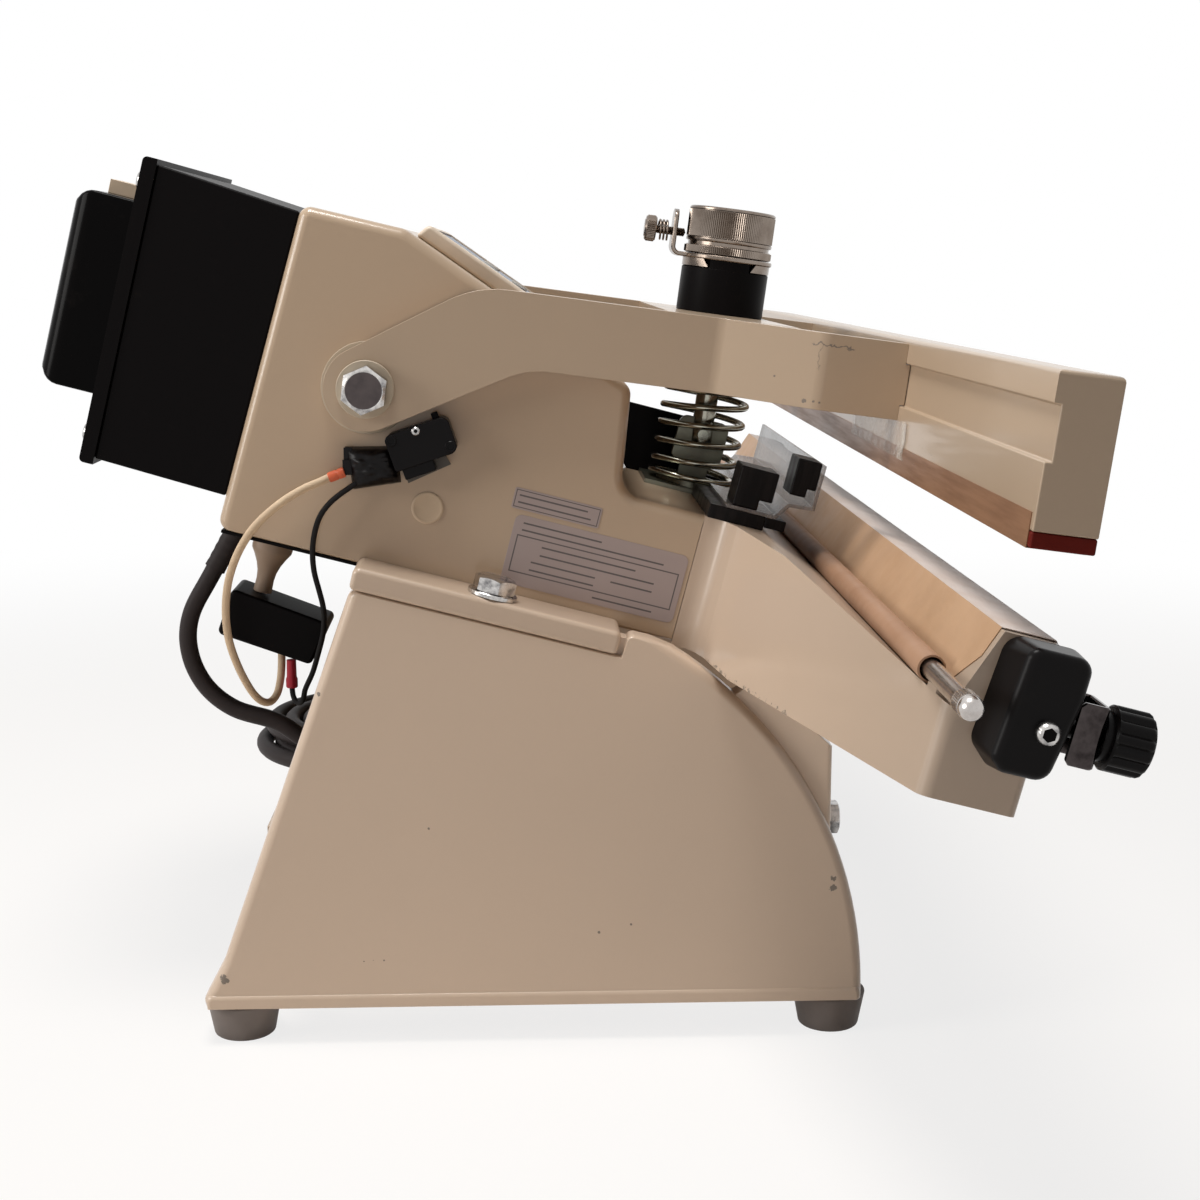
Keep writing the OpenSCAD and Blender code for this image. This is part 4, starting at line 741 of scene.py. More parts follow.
def bent_strip(bm, points, thick, half, radius, place, tip):
    """A strip along a line in X-Z, from Y -half to half; tip rounds the corners of its last end."""
    line = eased(points, radius)
    left = [0.0]
    for a, b in zip(line[::-1], line[-2::-1]):
        left.append(left[-1] + (b - a).length)
    rows = []
    for i, (point, rest) in enumerate(zip(line, left[::-1])):
        way = (line[min(i + 1, len(line) - 1)] - line[max(i - 1, 0)]).normalized()
        out = Vector((-way.y, way.x)) * thick / 2
        short = tip - math.sqrt(max(tip**2 - (tip - min(rest, tip)) ** 2, 0))
        y, rim = half - short, min(0.5, thick / 4)
        flank = ((1, y - rim), (1 - 2 * rim / thick, y), (-1 + 2 * rim / thick, y), (-1, y - rim))
        ends = [*flank, *((k, -v) for k, v in flank[::-1])]
        rows.append([((point + out * k).x, v, (point + out * k).y) for k, v in ends])
    return skin(bm, rows, place)


def close_shell(bm, grid, across, along):
    """Faces of a thin shell, whose grid has an outer and an inner point at each (i, j)."""
    for i in range(across):
        for j in range(along):
            for k in (0, 1):
                bm.faces.new([grid[i, j][k], grid[i + 1, j][k], grid[i + 1, j + 1][k], grid[i, j + 1][k]])
    for i in range(across):
        for j in (0, along):
            bm.faces.new([*grid[i, j], *grid[i + 1, j][::-1]])
    for j in range(along):
        for i in (0, across):
            bm.faces.new([*grid[i, j], *grid[i, j + 1][::-1]])


def pillow(bm, corners, depth, place, crease, count=28):
    """A soft pad on the X-Z plane between four corners, swelling towards -Y by depth."""
    a, b, c, d = (Vector(p) for p in corners)
    grid = {}
    for i in range(count + 1):
        for j in range(count + 1):
            s, t = i / count, j / count
            p = a.lerp(b, s).lerp(d.lerp(c, s), t)
            swell = (max(1 - abs(2 * s - 1) ** 3, 0) * max(1 - abs(2 * t - 1) ** 3, 0)) ** 0.45
            fold = crease * noise.noise(Vector((p.x * 0.16 + p.y * 0.1, p.y * 0.42, 3.1))) * swell
            front = -depth * swell - abs(fold) - 0.15
            grid[i, j] = [bm.verts.new(place @ Vector((p.x, y, p.y))) for y in (front, 0)]
    close_shell(bm, grid, count, count)
    return bm


def swung(x, z, angle):
    """A point of the X-Z plane, swung about the origin by an angle in radians."""
    c, s = math.cos(angle), math.sin(angle)
    return Vector((x * c - z * s, x * s + z * c))


def inset_outline(corners, depth, steps=6):
    """Outline of corners (x, z, radius, weight), each edge moved inwards by depth times its weight.

    A weight belongs to the edge that leaves its corner, and the outline runs anticlockwise.
    """
    outline = []
    count = len(corners)
    for i, (x, z, radius, weight) in enumerate(corners):
        before, after = corners[i - 1], corners[(i + 1) % count]
        d1 = Vector((x - before[0], z - before[1])).normalized()
        d2 = Vector((after[0] - x, after[1] - z)).normalized()
        n1 = Vector((-d1.y, d1.x))
        o1, o2 = depth * before[3], depth * weight
        turn = d1.x * d2.y - d1.y * d2.x
        if abs(turn) < 1e-3:
            moved = Vector((x, z)) + n1 * (o1 + o2) / 2
        else:
            moved = Vector((x, z)) + (d2 * o1 - d1 * o2) / turn
        if not radius:
            outline.append(moved)
            continue
        half = math.atan2(turn, d1.dot(d2)) / 2
        r = max(radius - math.copysign((o1 + o2) / 2, turn), 0.02)
        start = moved - d1 * r * math.tan(abs(half))
        hub = start + n1 * math.copysign(r, turn)
        arm = start - hub
        outline += [hub + swung(arm.x, arm.y, 2 * half * k / steps) for k in range(steps + 1)]
    return outline


def rounded_slab(bm, corners, inner, outer, radius, place=WORLD, steps=6):
    """A plate in the X-Z plane from Y inner to Y outer, its outer rim rounded."""
    way = math.copysign(1, outer - inner)
    rings = [(0, inner)]
    for k in range(steps + 1):
        a = math.pi / 2 * k / steps
        rings.append((radius * (1 - math.cos(a)), outer - way * radius * (1 - math.sin(a))))
    rows = [[(p.x, y, p.y) for p in inset_outline(corners, depth)] for depth, y in rings]
    return skin(bm, rows, place)


def box(bm, low, high, place, rim):
    """A block with rounded edges."""
    made = bmesh.ops.create_cube(bm, size=1)["verts"]
    low, high = Vector(low), Vector(high)
    size, middle = high - low, (low + high) / 2
    for v in made:
        v.co = Vector((v.co.x * size.x, v.co.y * size.y, v.co.z * size.z)) + middle
    edges = list({e for v in made for e in v.link_edges})
    rounded = round_edges(bm, edges, rim, 3)
    block = {v for f in rounded["faces"] for v in f.verts} | {v for v in made if v.is_valid}
    bmesh.ops.transform(bm, matrix=place, verts=list(block))
    return bm


# Repeats, by geometry nodes


def new_tree(name, counts, sizes):
    """A tree that takes counts, sizes and a finish."""
    tree = bpy.data.node_groups.new(name, "GeometryNodeTree")
    tree.interface.new_socket("Geometry", in_out="OUTPUT", socket_type="NodeSocketGeometry")
    for kind, labels in (("Int", counts), ("Float", sizes), ("Material", ("Finish",))):
        for label in labels:
            tree.interface.new_socket(label, in_out="INPUT", socket_type="NodeSocket" + kind)
    graph = Graph(tree)
    return tree, graph, graph.node("NodeGroupInput").outputs


def end_tree(g, given, points, shape, **more):
    """Ends a tree: a copy of shape on each point, made real, with the finish that is given."""
    links = {"Points": points.outputs[0], "Instance": shape.outputs[0], **more}
    copies = g.node("GeometryNodeInstanceOnPoints", None, **links)
    real = g.node("GeometryNodeRealizeInstances", None, Geometry=copies.outputs[0])
    done = g.node("GeometryNodeSetMaterial", None, Geometry=real.outputs[0], Material=given["Finish"])
    g.node("NodeGroupOutput", None, Geometry=done.outputs[0])


def ridge_ring_tree():
    """Upright ridges, square in section and edge outwards, round a circle."""
    tree, g, given = new_tree("ring of ridges", ("Count",), ("Radius", "Ridge", "Height"))
    circle = g.node("GeometryNodeMeshCircle", None, Vertices=given["Count"], Radius=given["Radius"])
    sizes = {"Vertices": 4, "Radius": given["Ridge"], "Depth": given["Height"]}
    ridge = g.node("GeometryNodeMeshCylinder", None, **sizes)
    step = g.val("ShaderNodeMath", {"operation": "DIVIDE"}, s0=TAU, s1=given["Count"])
    spin = g.node("ShaderNodeCombineXYZ", None, Z=g.val("GeometryNodeInputIndex") * step)
    end_tree(g, given, circle, ridge, Rotation=spin.outputs[0])
    return tree


def stud_grid_tree():
    """Low round studs on a grid, for the keys of the panel."""
    tree, g, given = new_tree("grid of studs", ("Columns", "Rows"), ("Long", "Wide", "Radius", "Height"))
    size = {"Size_X": given["Long"], "Size_Y": given["Wide"]}
    grid = g.node("GeometryNodeMeshGrid", None, Vertices_X=given["Columns"], Vertices_Y=given["Rows"], **size)
    sizes = {"Vertices": 32, "Radius": given["Radius"], "Depth": given["Height"]}
    end_tree(g, given, grid, g.node("GeometryNodeMeshCylinder", None, **sizes))
    return tree


def grow(bm, tree, place, **sizes):
    """Adds what a tree makes, as plain mesh."""
    carrier = new_object("carrier", bpy.data.meshes.new("carrier"))
    grower = carrier.modifiers.new("tree", "NODES")
    grower.node_group = tree
    for item in tree.interface.items_tree:
        if item.in_out == "INPUT":
            grower[item.identifier] = sizes[item.name]
    mesh = evaluated_mesh(carrier)
    mesh.transform(place)
    bm.from_mesh(mesh)


# Camera and stage, in metres

SENSOR_MM, LENS_MM = 36.0, 56.4
CAMERA_AT = (0.00796, -0.892, 0.3295)
CAMERA_DOWN, CAMERA_TURN = 10.193, -2.2485
WHITE = (1, 1, 1, 1)
WARM_SHADE = (1.0, 0.78, 0.60, 1)
SHADE_STRENGTH = 0.045
PAPER = (0.95, 0.88, 0.81, 1)
FLOOR_HALF = 12
LAMP_COLOUR = (1.0, 0.985, 0.96)
LAMP_AIM = Vector((0.0, -0.1, 0.2))
LAMPS = (
    ("over", (-0.15, -0.25, 1.50), 0.55, 15.5),
    ("left", (-1.80, -0.66, 0.90), 1.0, 19.0),
)


def set_camera():
    lens = bpy.data.cameras.new("photo lens")
    lens.sensor_width, lens.lens = SENSOR_MM, LENS_MM
    lens.clip_start = 0.01
    camera = new_object("photo camera", lens)
    camera.location = CAMERA_AT
    camera.rotation_euler = (math.radians(90 - CAMERA_DOWN), 0, math.radians(CAMERA_TURN))
    bpy.context.scene.camera = camera


def shown_rays(graph):
    """1 for rays that show a thing: straight, mirrored or through clear plastic."""
    path = graph.node("ShaderNodeLightPath").outputs
    camera, glossy, through = (Val(graph, path[f"Is {k} Ray"]) for k in ("Camera", "Glossy", "Transmission"))
    return camera.math("MAXIMUM", glossy).math("MAXIMUM", through)


def set_world():
    scene = bpy.context.scene
    scene.view_settings.view_transform = "Standard"
    scene.world = bpy.data.worlds.new("studio")
    scene.world.use_nodes = True
    sky = Graph(scene.world.node_tree)
    soft = sky.node("ShaderNodeBackground", None, Color=WARM_SHADE, Strength=SHADE_STRENGTH)
    white = sky.node("ShaderNodeBackground", None, Color=WHITE, Strength=1.0)
    both = sky.node("ShaderNodeMixShader", None, s0=shown_rays(sky), s1=soft.outputs[0], s2=white.outputs[0])
    sky.node("ShaderNodeOutputWorld", None, Surface=both.outputs[0])


def set_floor():
    paper = bpy.data.materials.new("paper floor")
    paper.use_nodes = True
    g = Graph(paper.node_tree)
    place = g.node("ShaderNodeTexCoord").outputs["Object"]
    away = g.node("ShaderNodeVectorMath", {"operation": "LENGTH"}, s0=place).outputs["Value"]
    share = shown_rays(g) * (Val(g, away).over(0.5, 1.4) * 0.2 + 0.8)
    matt = g.node("ShaderNodeBsdfDiffuse", None, Color=PAPER)
    glow = g.node("ShaderNodeEmission", None, Color=WHITE, Strength=1.0)
    mixed = g.node("ShaderNodeMixShader", None, s0=share, s1=matt.outputs[0], s2=glow.outputs[0])
    g.node("ShaderNodeOutputMaterial", None, Surface=mixed.outputs[0])
    bm = bmesh.new()
    bmesh.ops.create_grid(bm, x_segments=1, y_segments=1, size=FLOOR_HALF)
    mesh = bpy.data.meshes.new("floor")
    bm.to_mesh(mesh)
    bm.free()
    mesh.materials.append(paper)
    floor = new_object("floor", mesh)


def set_lamps():
    for name, where, size, power in LAMPS:
        light = bpy.data.lights.new(name, "AREA")
        light.shape, light.size, light.energy, light.color = "DISK", size, power, LAMP_COLOUR
        lamp = new_object(name, light)
        lamp.location = where
        lamp.rotation_euler = (LAMP_AIM - Vector(where)).to_track_quat("-Z", "Y").to_euler()


# Cords

CORD_D, PALE_D, BLACK_D, GLAND_Y = 8.0, 3.4, 2.4, -58.0
RELIEF_LONG, RELIEF_LEAN = 22, 16
GLAND = UNIT @ spot(-44, GLAND_Y, FLOOR_W - 4)
LEAD_ROUTE = (
    (-135.2, 188.1), (-139.3, 181.2), (-141.9, 175.8), (-143.6, 170), (-144.3, 164.1), (-143.9, 158),
    (-142.6, 152.2), (-140.3, 146.6), (-137.2, 141.5), (-133.2, 137), (-128.5, 133.2), (-123.3, 130.2),
    (-117.6, 128.2), (-112, 126.7), (-107, 125), (-102.4, 122.6), (-98.2, 119.5), (-93, 115.9),
    (-87.3, 113.3), (-81.3, 111.6), (-75, 111),
)
PALE_ROUTE = (
    (-77.6, -110, 239.6), (-82.8, -111, 237.6), (-87.5, -112, 235.2), (-92.4, -112, 232.2),
    (-97.2, -112, 228.6), (-101.8, -111, 224.6), (-106.2, -110, 220), (-109.9, -109, 214.9),
    (-113.1, -108, 209.4), (-116, -106, 203), (-118.3, -104, 195.8), (-119.9, -101, 187.6),
    (-120.6, -98, 179.1), (-120.3, -95, 170.5), (-118.8, -91, 161.5), (-116, -87, 152),
    (-112.6, -82.5, 143.6), (-109.4, -78.5, 138.9), (-106.2, -74.6, 137.6), (-103.6, -70.6, 140.4),
    (-102.4, -67.4, 146), (-102, -65, 152),
)
BLACK_ROUTE = (
    (-60, -106, 240.2), (-63.4, -107, 238.4), (-67, -108, 236), (-70.8, -109, 233.4), (-75, -109.6, 229.6),
    (-78.6, -109, 224.4), (-81, -107.6, 217.4), (-82.2, -105.8, 209.6), (-82, -104, 201),
    (-80.4, -102, 192.6), (-79.2, -100, 186), (-79, -97, 179.6), (-80.2, -93, 171.4), (-83, -88, 162),
    (-86, -83.6, 153), (-88.8, -80.4, 147), (-90.3, -78.8, 143.6), (-91.1, -77.8, 140),
    (-92.3, -76.3, 137.8), (-93.9, -74.2, 136.9), (-95.5, -72.1, 137.6), (-96.6, -70.6, 139.6),
    (-97, -70, 143),
)
BOX_ENTRY = Vector((-13, -62, -126.2))
COIL_X, COIL_R, COIL_STEP, COIL_LOW, COIL_FLARE = -63.0, 58.0, 8.6, 102.4, 8.0
COIL_TURNS, COIL_TAIL, COIL_STEPS = 6, 0.25, 24
COIL_DROP_AT, COIL_DROP_LONG = 2.75, 0.5
CRIMP, CRIMP_LONG = Vector((-67.8, -108, 243.4)), 7
CRIMP_WAY = rotated(-110, "Y")


def coil_point(t):
    """A point after t turns: inwards on the upper layer, outwards on the lower one, then a tail."""
    tail = max(t - COIL_TURNS, 0) / COIL_TAIL
    radius = COIL_R - COIL_STEP * min(t, COIL_TURNS - t) + COIL_FLARE * tail**2
    drop = min(max((t - COIL_DROP_AT) / COIL_DROP_LONG, 0), 1)
    angle = math.radians(360 * t - 90)
    height = COIL_LOW + COIL_STEP * (1 - drop)
    return Vector((COIL_X + radius * math.cos(angle), radius * math.sin(angle), height))


def add_cord(name, path, diameter, finish, replaces):
    """A round cord along its path, at the length that the path has."""
    piece = add_piece(name, tube(bmesh.new(), path, diameter / 2), "frame", finish, replaces, smooth_deg=60)
    route = [p * MM for p in path]
    length = sum((b - a).length for a, b in zip(route, route[1:]))


def add_cords(fin):
    lean = math.radians(TILT + RELIEF_LEAN)
    tip = GLAND.translation - RELIEF_LONG * Vector((math.sin(lean), 0, math.cos(lean)))
    lead = [tip, *(Vector((x, GLAND_Y, z)) for x, z in LEAD_ROUTE)]
    start = Vector((COIL_X - CORD_D, -COIL_R, COIL_LOW + COIL_STEP))
    coil = [coil_point(i / COIL_STEPS) for i in range(int((COIL_TURNS + COIL_TAIL) * COIL_STEPS) + 1)]
    tail = [coil[-1] + Vector((0, CORD_D / 2, 0)), coil[-1] + Vector((0, CORD_D, 0))]
    mains, nodes = smooth_route([*lead, start, *coil, *tail]), ("mains_lead", "mains_coil")
    add_cord("mains_cord", mains, CORD_D, fin["cord"], nodes)
    crimp_end = CRIMP + CRIMP_LONG * (CRIMP_WAY @ Vector((0, 0, 1)))
    pale = smooth_route([crimp_end, *PALE_ROUTE, UNIT @ BOX_ENTRY])
    add_cord("pale_cord", pale, PALE_D, fin["pale_cord"], ("pale_wire",))
    black = smooth_route(BLACK_ROUTE)
    add_cord("black_cord", black, BLACK_D, fin["thin_cord"], ("black_wire",))


# Base and body

CHEEK_FRONT, CHEEK_CURVE = 151.0, 180.0
SEAT_BOLT_U, SEAT_BOLT_Y, PIVOT_BOLT_Y = 71.0, 119.0, 113.3
SEAT_HEAD_TURN, PIVOT_HEAD_TURN = (Matrix.Rotation(radians, 4, "Z") for radians in (0.22, 0.12))
FRONT_BOLT_Y, FRONT_BOLT_Z = 98.0, 89.0
PLUG_U, PLUG_W = 36.0, -43.0
REAR_SCREW_U, REAR_SCREW_Y = -110.0, 88.0
KEYS_AT = CONSOLE @ spot(44, 28, 6.35)
SIDE_SKIN = 6.0


def front_curve(start, end, radius, steps):
    """Arc between two points, bulging to the right of the way from start to end."""
    a, b = Vector(start), Vector(end)
    way = (b - a).normalized()
    hub = (a + b) / 2 + Vector((-way.y, way.x)) * math.sqrt(radius**2 - ((b - a).length / 2) ** 2)
    first, last = a - hub, b - hub
    a0 = math.atan2(first.y, first.x)
    sweep = (math.atan2(last.y, last.x) - a0 + math.pi) % TAU - math.pi
    angles = [a0 + sweep * i / steps for i in range(steps + 1)]
    return [(hub.x + radius * math.cos(a), hub.y + radius * math.sin(a)) for a in angles]


def add_base(fin):
    """Two cheeks with a foot lip, the panels between them and the front wall, and what stands on them."""
    curve = front_curve((CHEEK_FRONT, FOOT_H), on_unit(149, LEDGE_W - 1.5), CHEEK_CURVE, 24)
    cheek = [
        *((x, z, 0, 1.0) for x, z in curve[:-1]),
        (*curve[-1], 0, 0.5),
        (*on_unit(139, LEDGE_W), 0, 0.3),
        (*on_unit(129.6, LEDGE_W), 3, 0.1),
        (*on_unit(129, SEAT_W), 0, 0.2),
        (*on_unit(13.5, SEAT_W), 4, 0.9),
        (-122, 37, 12, 0.9),
        (-131, 20, 3, 0.5),
        (-130, FOOT_H, 0, 0.15),
    ]
    panel_top = ((189, SEAT_W + 3.6), (180, SEAT_W - 5), (129, SEAT_W - 1), (19, SEAT_W - 1))
    panel = [
        (FRONT_WALL_X, FOOT_H, 0, 1.0),
        (FRONT_WALL_X, 127, 0, 0.2),
        *((*on_unit(u, w), 0, 0.2) for u, w in panel_top),
        (-115, FOOT_H, 0, 0.2),
    ]
    lip_top = FOOT_H + 6.5
    lip = ((-129.5, FOOT_H, 0, 0.3), (150.6, FOOT_H, 2, 1), (150.2, lip_top, 3, 1), (-130, lip_top, 3, 1))
    bm, fronts = bmesh.new(), bmesh.new()
    for side in (-1, 1):
        rounded_slab(bm, cheek, side * PANEL_Y, side * (BASE_Y - 0.8), 4.5)
        rounded_slab(fronts, panel, side * INNER_Y, side * (PANEL_Y + 5), 2.5)
        rounded_slab(bm, lip, side * PANEL_Y, side * BASE_Y, 2.2)
        y0, y1 = sorted((side * (PANEL_Y - 2), side * (BASE_Y - 4.5)))
        box(bm, (118, y0, SEAT_W - 4), (138, y1, LEDGE_W - 2.5), UNIT, 0.3)
    wall_low, wall_high = (131, -INNER_Y - 1, FOOT_H), (FRONT_WALL_X - 0.1, INNER_Y + 1, 126.9)
    box(bm, wall_low, wall_high, WORLD, 0.4)
    add_piece("base_form", bm, "frame", fin["enamel_base"], ("base_shell",))
    # The panels take the lighter enamel: painted light.
    add_piece("base_fronts", fronts, "frame", fin["lit_enamel_panel"])
    under = box(bmesh.new(), (-46, -100, FLOOR_W - 1.4), (12.5, 100, FLOOR_W), UNIT, 0.3)
    add_piece("under_plate", under, "frame", fin["black_satin"])
    dress("cord_tray", fin["enamel"], 0.6)
    dress("rubber_feet", fin["foot"], 1.2)
    at_side = on_side(BASE_Y)

    def low_edge(a, b, n):
        return min(a.z, b.z) < FLOOR_W + 0.1 and not at_side(a, b, n)

    dress("seat_frame", fin["enamel_seat"], 1.0, place=UNIT, rules=((0.4, low_edge), (2.2, at_side)))


def add_bolts(fin):
    """Hexagon bolts with washers: on the seat ledge, at the pivot and in the front wall."""
    seat, pivot, front, faces, rings = (bmesh.new() for _ in range(5))
    for side in (-1, 1):
        stand = UNIT @ spot(SEAT_BOLT_U, side * SEAT_BOLT_Y, LEDGE_W)
        washer(seat, stand, 10.5, 5.2, 2)
        hex_head(seat, stand @ spot(0, 0, 2) @ SEAT_HEAD_TURN, 16, 6.4)
        stand = UNIT @ spot(0, side * PIVOT_BOLT_Y, 0) @ outward(side)
        washer(rings, stand, 12, 6.2, 2)
        hex_head(pivot, stand @ spot(0, 0, 2) @ PIVOT_HEAD_TURN, 17.6, 7.5, faces)
        stand = spot(FRONT_WALL_X, side * FRONT_BOLT_Y, FRONT_BOLT_Z) @ ALONG_X
        washer(front, stand, 8, 4.2, 1.6)
        hex_head(front, stand @ spot(0, 0, 1.6), 13, 5.5)
    add_piece("seat_bolt_heads", seat, "frame", fin["steel"], ("seat_bolts",), smooth_deg=25)
    add_piece("pivot_bolt_heads", pivot, "frame", fin["steel"], ("pivot_bolts",), smooth_deg=25)
    # The bolt faces take the darkened metal: painted reflection.
    add_piece("pivot_bolt_faces", faces, "frame", fin["bolt_face"])
    add_piece("pivot_washers", rings, "frame", fin["pale_nylon"])
    add_piece("front_bolt_heads", front, "frame", fin["steel"], ("front_bolts",), smooth_deg=25)


def add_body(fin):
    """The housing, narrowed by a skin on each side, and the two sides with their rounded rims."""
    core, sides, plugs = cad_copy("body_housing"), bmesh.new(), bmesh.new()
    core_y = BODY_Y - SIDE_SKIN
    for v in core.verts:
        if abs(v.co.y) > core_y - 1:
            v.co.y -= math.copysign(SIDE_SKIN, v.co.y)
    kept = [(0, test) for test in (near(0, 0, 9), near(PLUG_U, PLUG_W, 8), on_side(core_y))]
    soften(core, UNIT, (*kept, (0.3, ahead_of(BEAM_SEAM - 0.1)), (0.5, any_edge)), 5)
    add_piece("body_housing_dress", core, "frame", fin["enamel"], ("body_housing",), turn=False)
    outline = (
        (-48, FLOOR_W, 5, 0.35), (BEAM_SEAM, FLOOR_W, 0, 0.06), (BEAM_SEAM, SHELF_W, 0, 1),
        (114, SHELF_W, 10, 1), (107, 27, 6, 1), (0, BODY_TOP, 10, 1), (-43.6, BODY_TOP - 1, 5, 1),
    )
    for side in (-1, 1):
        rounded_slab(sides, outline, side * core_y, side * BODY_Y, 4.6, UNIT)
        stand = UNIT @ spot(PLUG_U, side * (BODY_Y - 1), PLUG_W) @ outward(side)
        turned(plugs, [(0, 0), (6.8, 0), (6.8, 1.5), (6.3, 1.8), (5.5, 1.75), (5.1, 1.45), (0, 1.4)], stand)
    add_piece("body_sides", sides, "frame", fin["enamel"])
    add_piece("plug_caps", plugs, "frame", fin["cream_plastic"], ("side_plugs",))
    dress("rating_plate", fin["plate"], 0.08)


def add_rear(fin):
    dress("rear_housing", fin["black_satin"], 1.1)
    dress("rear_panel", fin["black_satin"], 0.8)
    dress("rear_cover", fin["black_gloss"], 2.0)
    screws = bmesh.new()
    for w in (FLOOR_W + 25, BODY_TOP - 8):
        for y in (-REAR_SCREW_Y, REAR_SCREW_Y):
            pan_screw(screws, UNIT @ spot(REAR_SCREW_U, y, w) @ rotated(-90, "Y"), 8, 2.4)
    add_piece("rear_screw_heads", screws, "frame", fin["steel"], ("rear_screws",))
    dress("wire_clamp", fin["cream_plastic"], 1.0)


def add_console(fin, studs):
    dress("panel_bezel", fin["bezel"], 0.5, place=CONSOLE, rules=((1.6, on_side(82)),))
    dress("panel_film", fin["film"], 0.15)
    dress("power_rocker", fin["black_satin"], 0.5, "rocker")
    keys = bmesh.new()
    sizes = {"Columns": 2, "Rows": 5, "Long": 16, "Wide": 64, "Radius": 4.2, "Height": 0.7}
    grow(keys, studs, KEYS_AT, Finish=fin["key"], **sizes)
    add_piece("panel_keys", keys, "frame", fin["key"])
    window = box(bmesh.new(), (20, -60, 5.9), (42, -16, 6.6), CONSOLE, 0.25)
    add_piece("panel_window", window, "frame", fin["black_gloss"])


def add_inside(fin):
    dress("circuit_board", fin["board"], 0.2)
    dress("transformer", fin["core"], 0.6)
    dress("solenoid", fin["core"], 0.6)
    dress("plunger", fin["steel"], 0.4, "plunger")
    dress("pull_link", fin["dull_zinc"], 0.4, "plunger")
    dress("spring_seat", fin["dull_zinc"], 0.12)
    dress("back_plate", fin["black_satin"], 0.4)


# Return spring: closed end turns, even turns between

SPRING_D, SPRING_WIRE, SPRING_TURNS, SPRING_STEPS = 39.0, 3.0, 6.5, 32


def add_spring(fin):
    """The spring between the shelf and the open arm; its coil runs from the one to the other and leans with
    the arm.
    """
    foot = Vector((PULL_U, SHELF_W + 2 + SPRING_WIRE / 2 + 0.1))
    head = swung(PULL_U, ARM_BOTTOM - SPRING_WIRE / 2 - 0.3, math.radians(OPEN))
    rise, step = (head - foot).length, SPRING_WIRE + 0.8
    path = []
    for i in range(int(SPRING_TURNS * SPRING_STEPS) + 1):
        t = i / SPRING_STEPS
        if t < 1:
            height = step * t
        elif t > SPRING_TURNS - 1:
            height = rise - step * (SPRING_TURNS - t)
        else:
            height = step + (rise - 2 * step) / (SPRING_TURNS - 2) * (t - 1)
        f = height / rise
        p = foot + (head - foot) * f + swung(math.cos(TAU * t) * SPRING_D / 2, 0, math.radians(OPEN) * f)
        path.append(Vector((p.x, math.sin(TAU * t) * SPRING_D / 2, p.y)))
    wire = tube(bmesh.new(), path, SPRING_WIRE / 2, 14, UNIT)
    piece = add_piece("spring_wire", wire, None, fin["olive_zinc"], smooth_deg=60)
    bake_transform(piece)
    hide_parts("return_spring")


# Jaw

BAR_BACK, TAPE_SHORT = 215.6, 5.5
LOCK_W = 82.8
THREAD_START, THREAD_HALF_PITCH, THREAD_R, THREAD_DEEP = 117.3, 0.4, 2.0, 0.25
LOCK_SPRING_START, LOCK_SPRING_LONG, LOCK_SPRING_R = 118.4, 4.8, 4.4
LOCK_SPRING_TURNS, LOCK_SPRING_STEPS = 3, 24


def add_jaw(fin):
    """Arm, upper bar and what is stuck to the bar; the tape ends lower than its solid."""
    dress("arm_casting", fin["shaded_enamel_arm"], 2.0, "arm", JAW, ((0, near(0, 0, 7)),))
    dress("pivot_discs", fin["pale_nylon"], 0.3)
    dress("upper_bar", fin["shaded_enamel_arm"], 0.6, "arm", JAW, ((1.6, above(ARM_TOP + 2)),))
    dress("press_rubber", fin["silicone"], 0.7, "arm")
    tape = cad_copy("press_tape")
    back = JAW.inverted()
    rim = max((back @ v.co).z for v in tape.verts)
    for v in tape.verts:
        if (back @ v.co).z > rim - 1:
            v.co = v.co - JAW.to_3x3() @ Vector((0, 0, TAPE_SHORT))
    add_piece("tape_form", tape, "arm", fin["tape"], ("press_tape",), turn=False)
    patches = bmesh.new()
    face = JAW @ spot(BAR_BACK, 0, 0) @ rotated(-90, "Z")
    for y0, y1, low, high in ((-240, -40, 2.0, 17.5), (118, 190, 2.0, 16.0)):
        pillow(patches, ((-y0, low), (-y1, low + 1), (-y1, high - 1), (-y0, high)), 0.15, face, 0.35)
    add_piece("clear_patches", patches, "arm", fin["clear_tape"], smooth_deg=60)


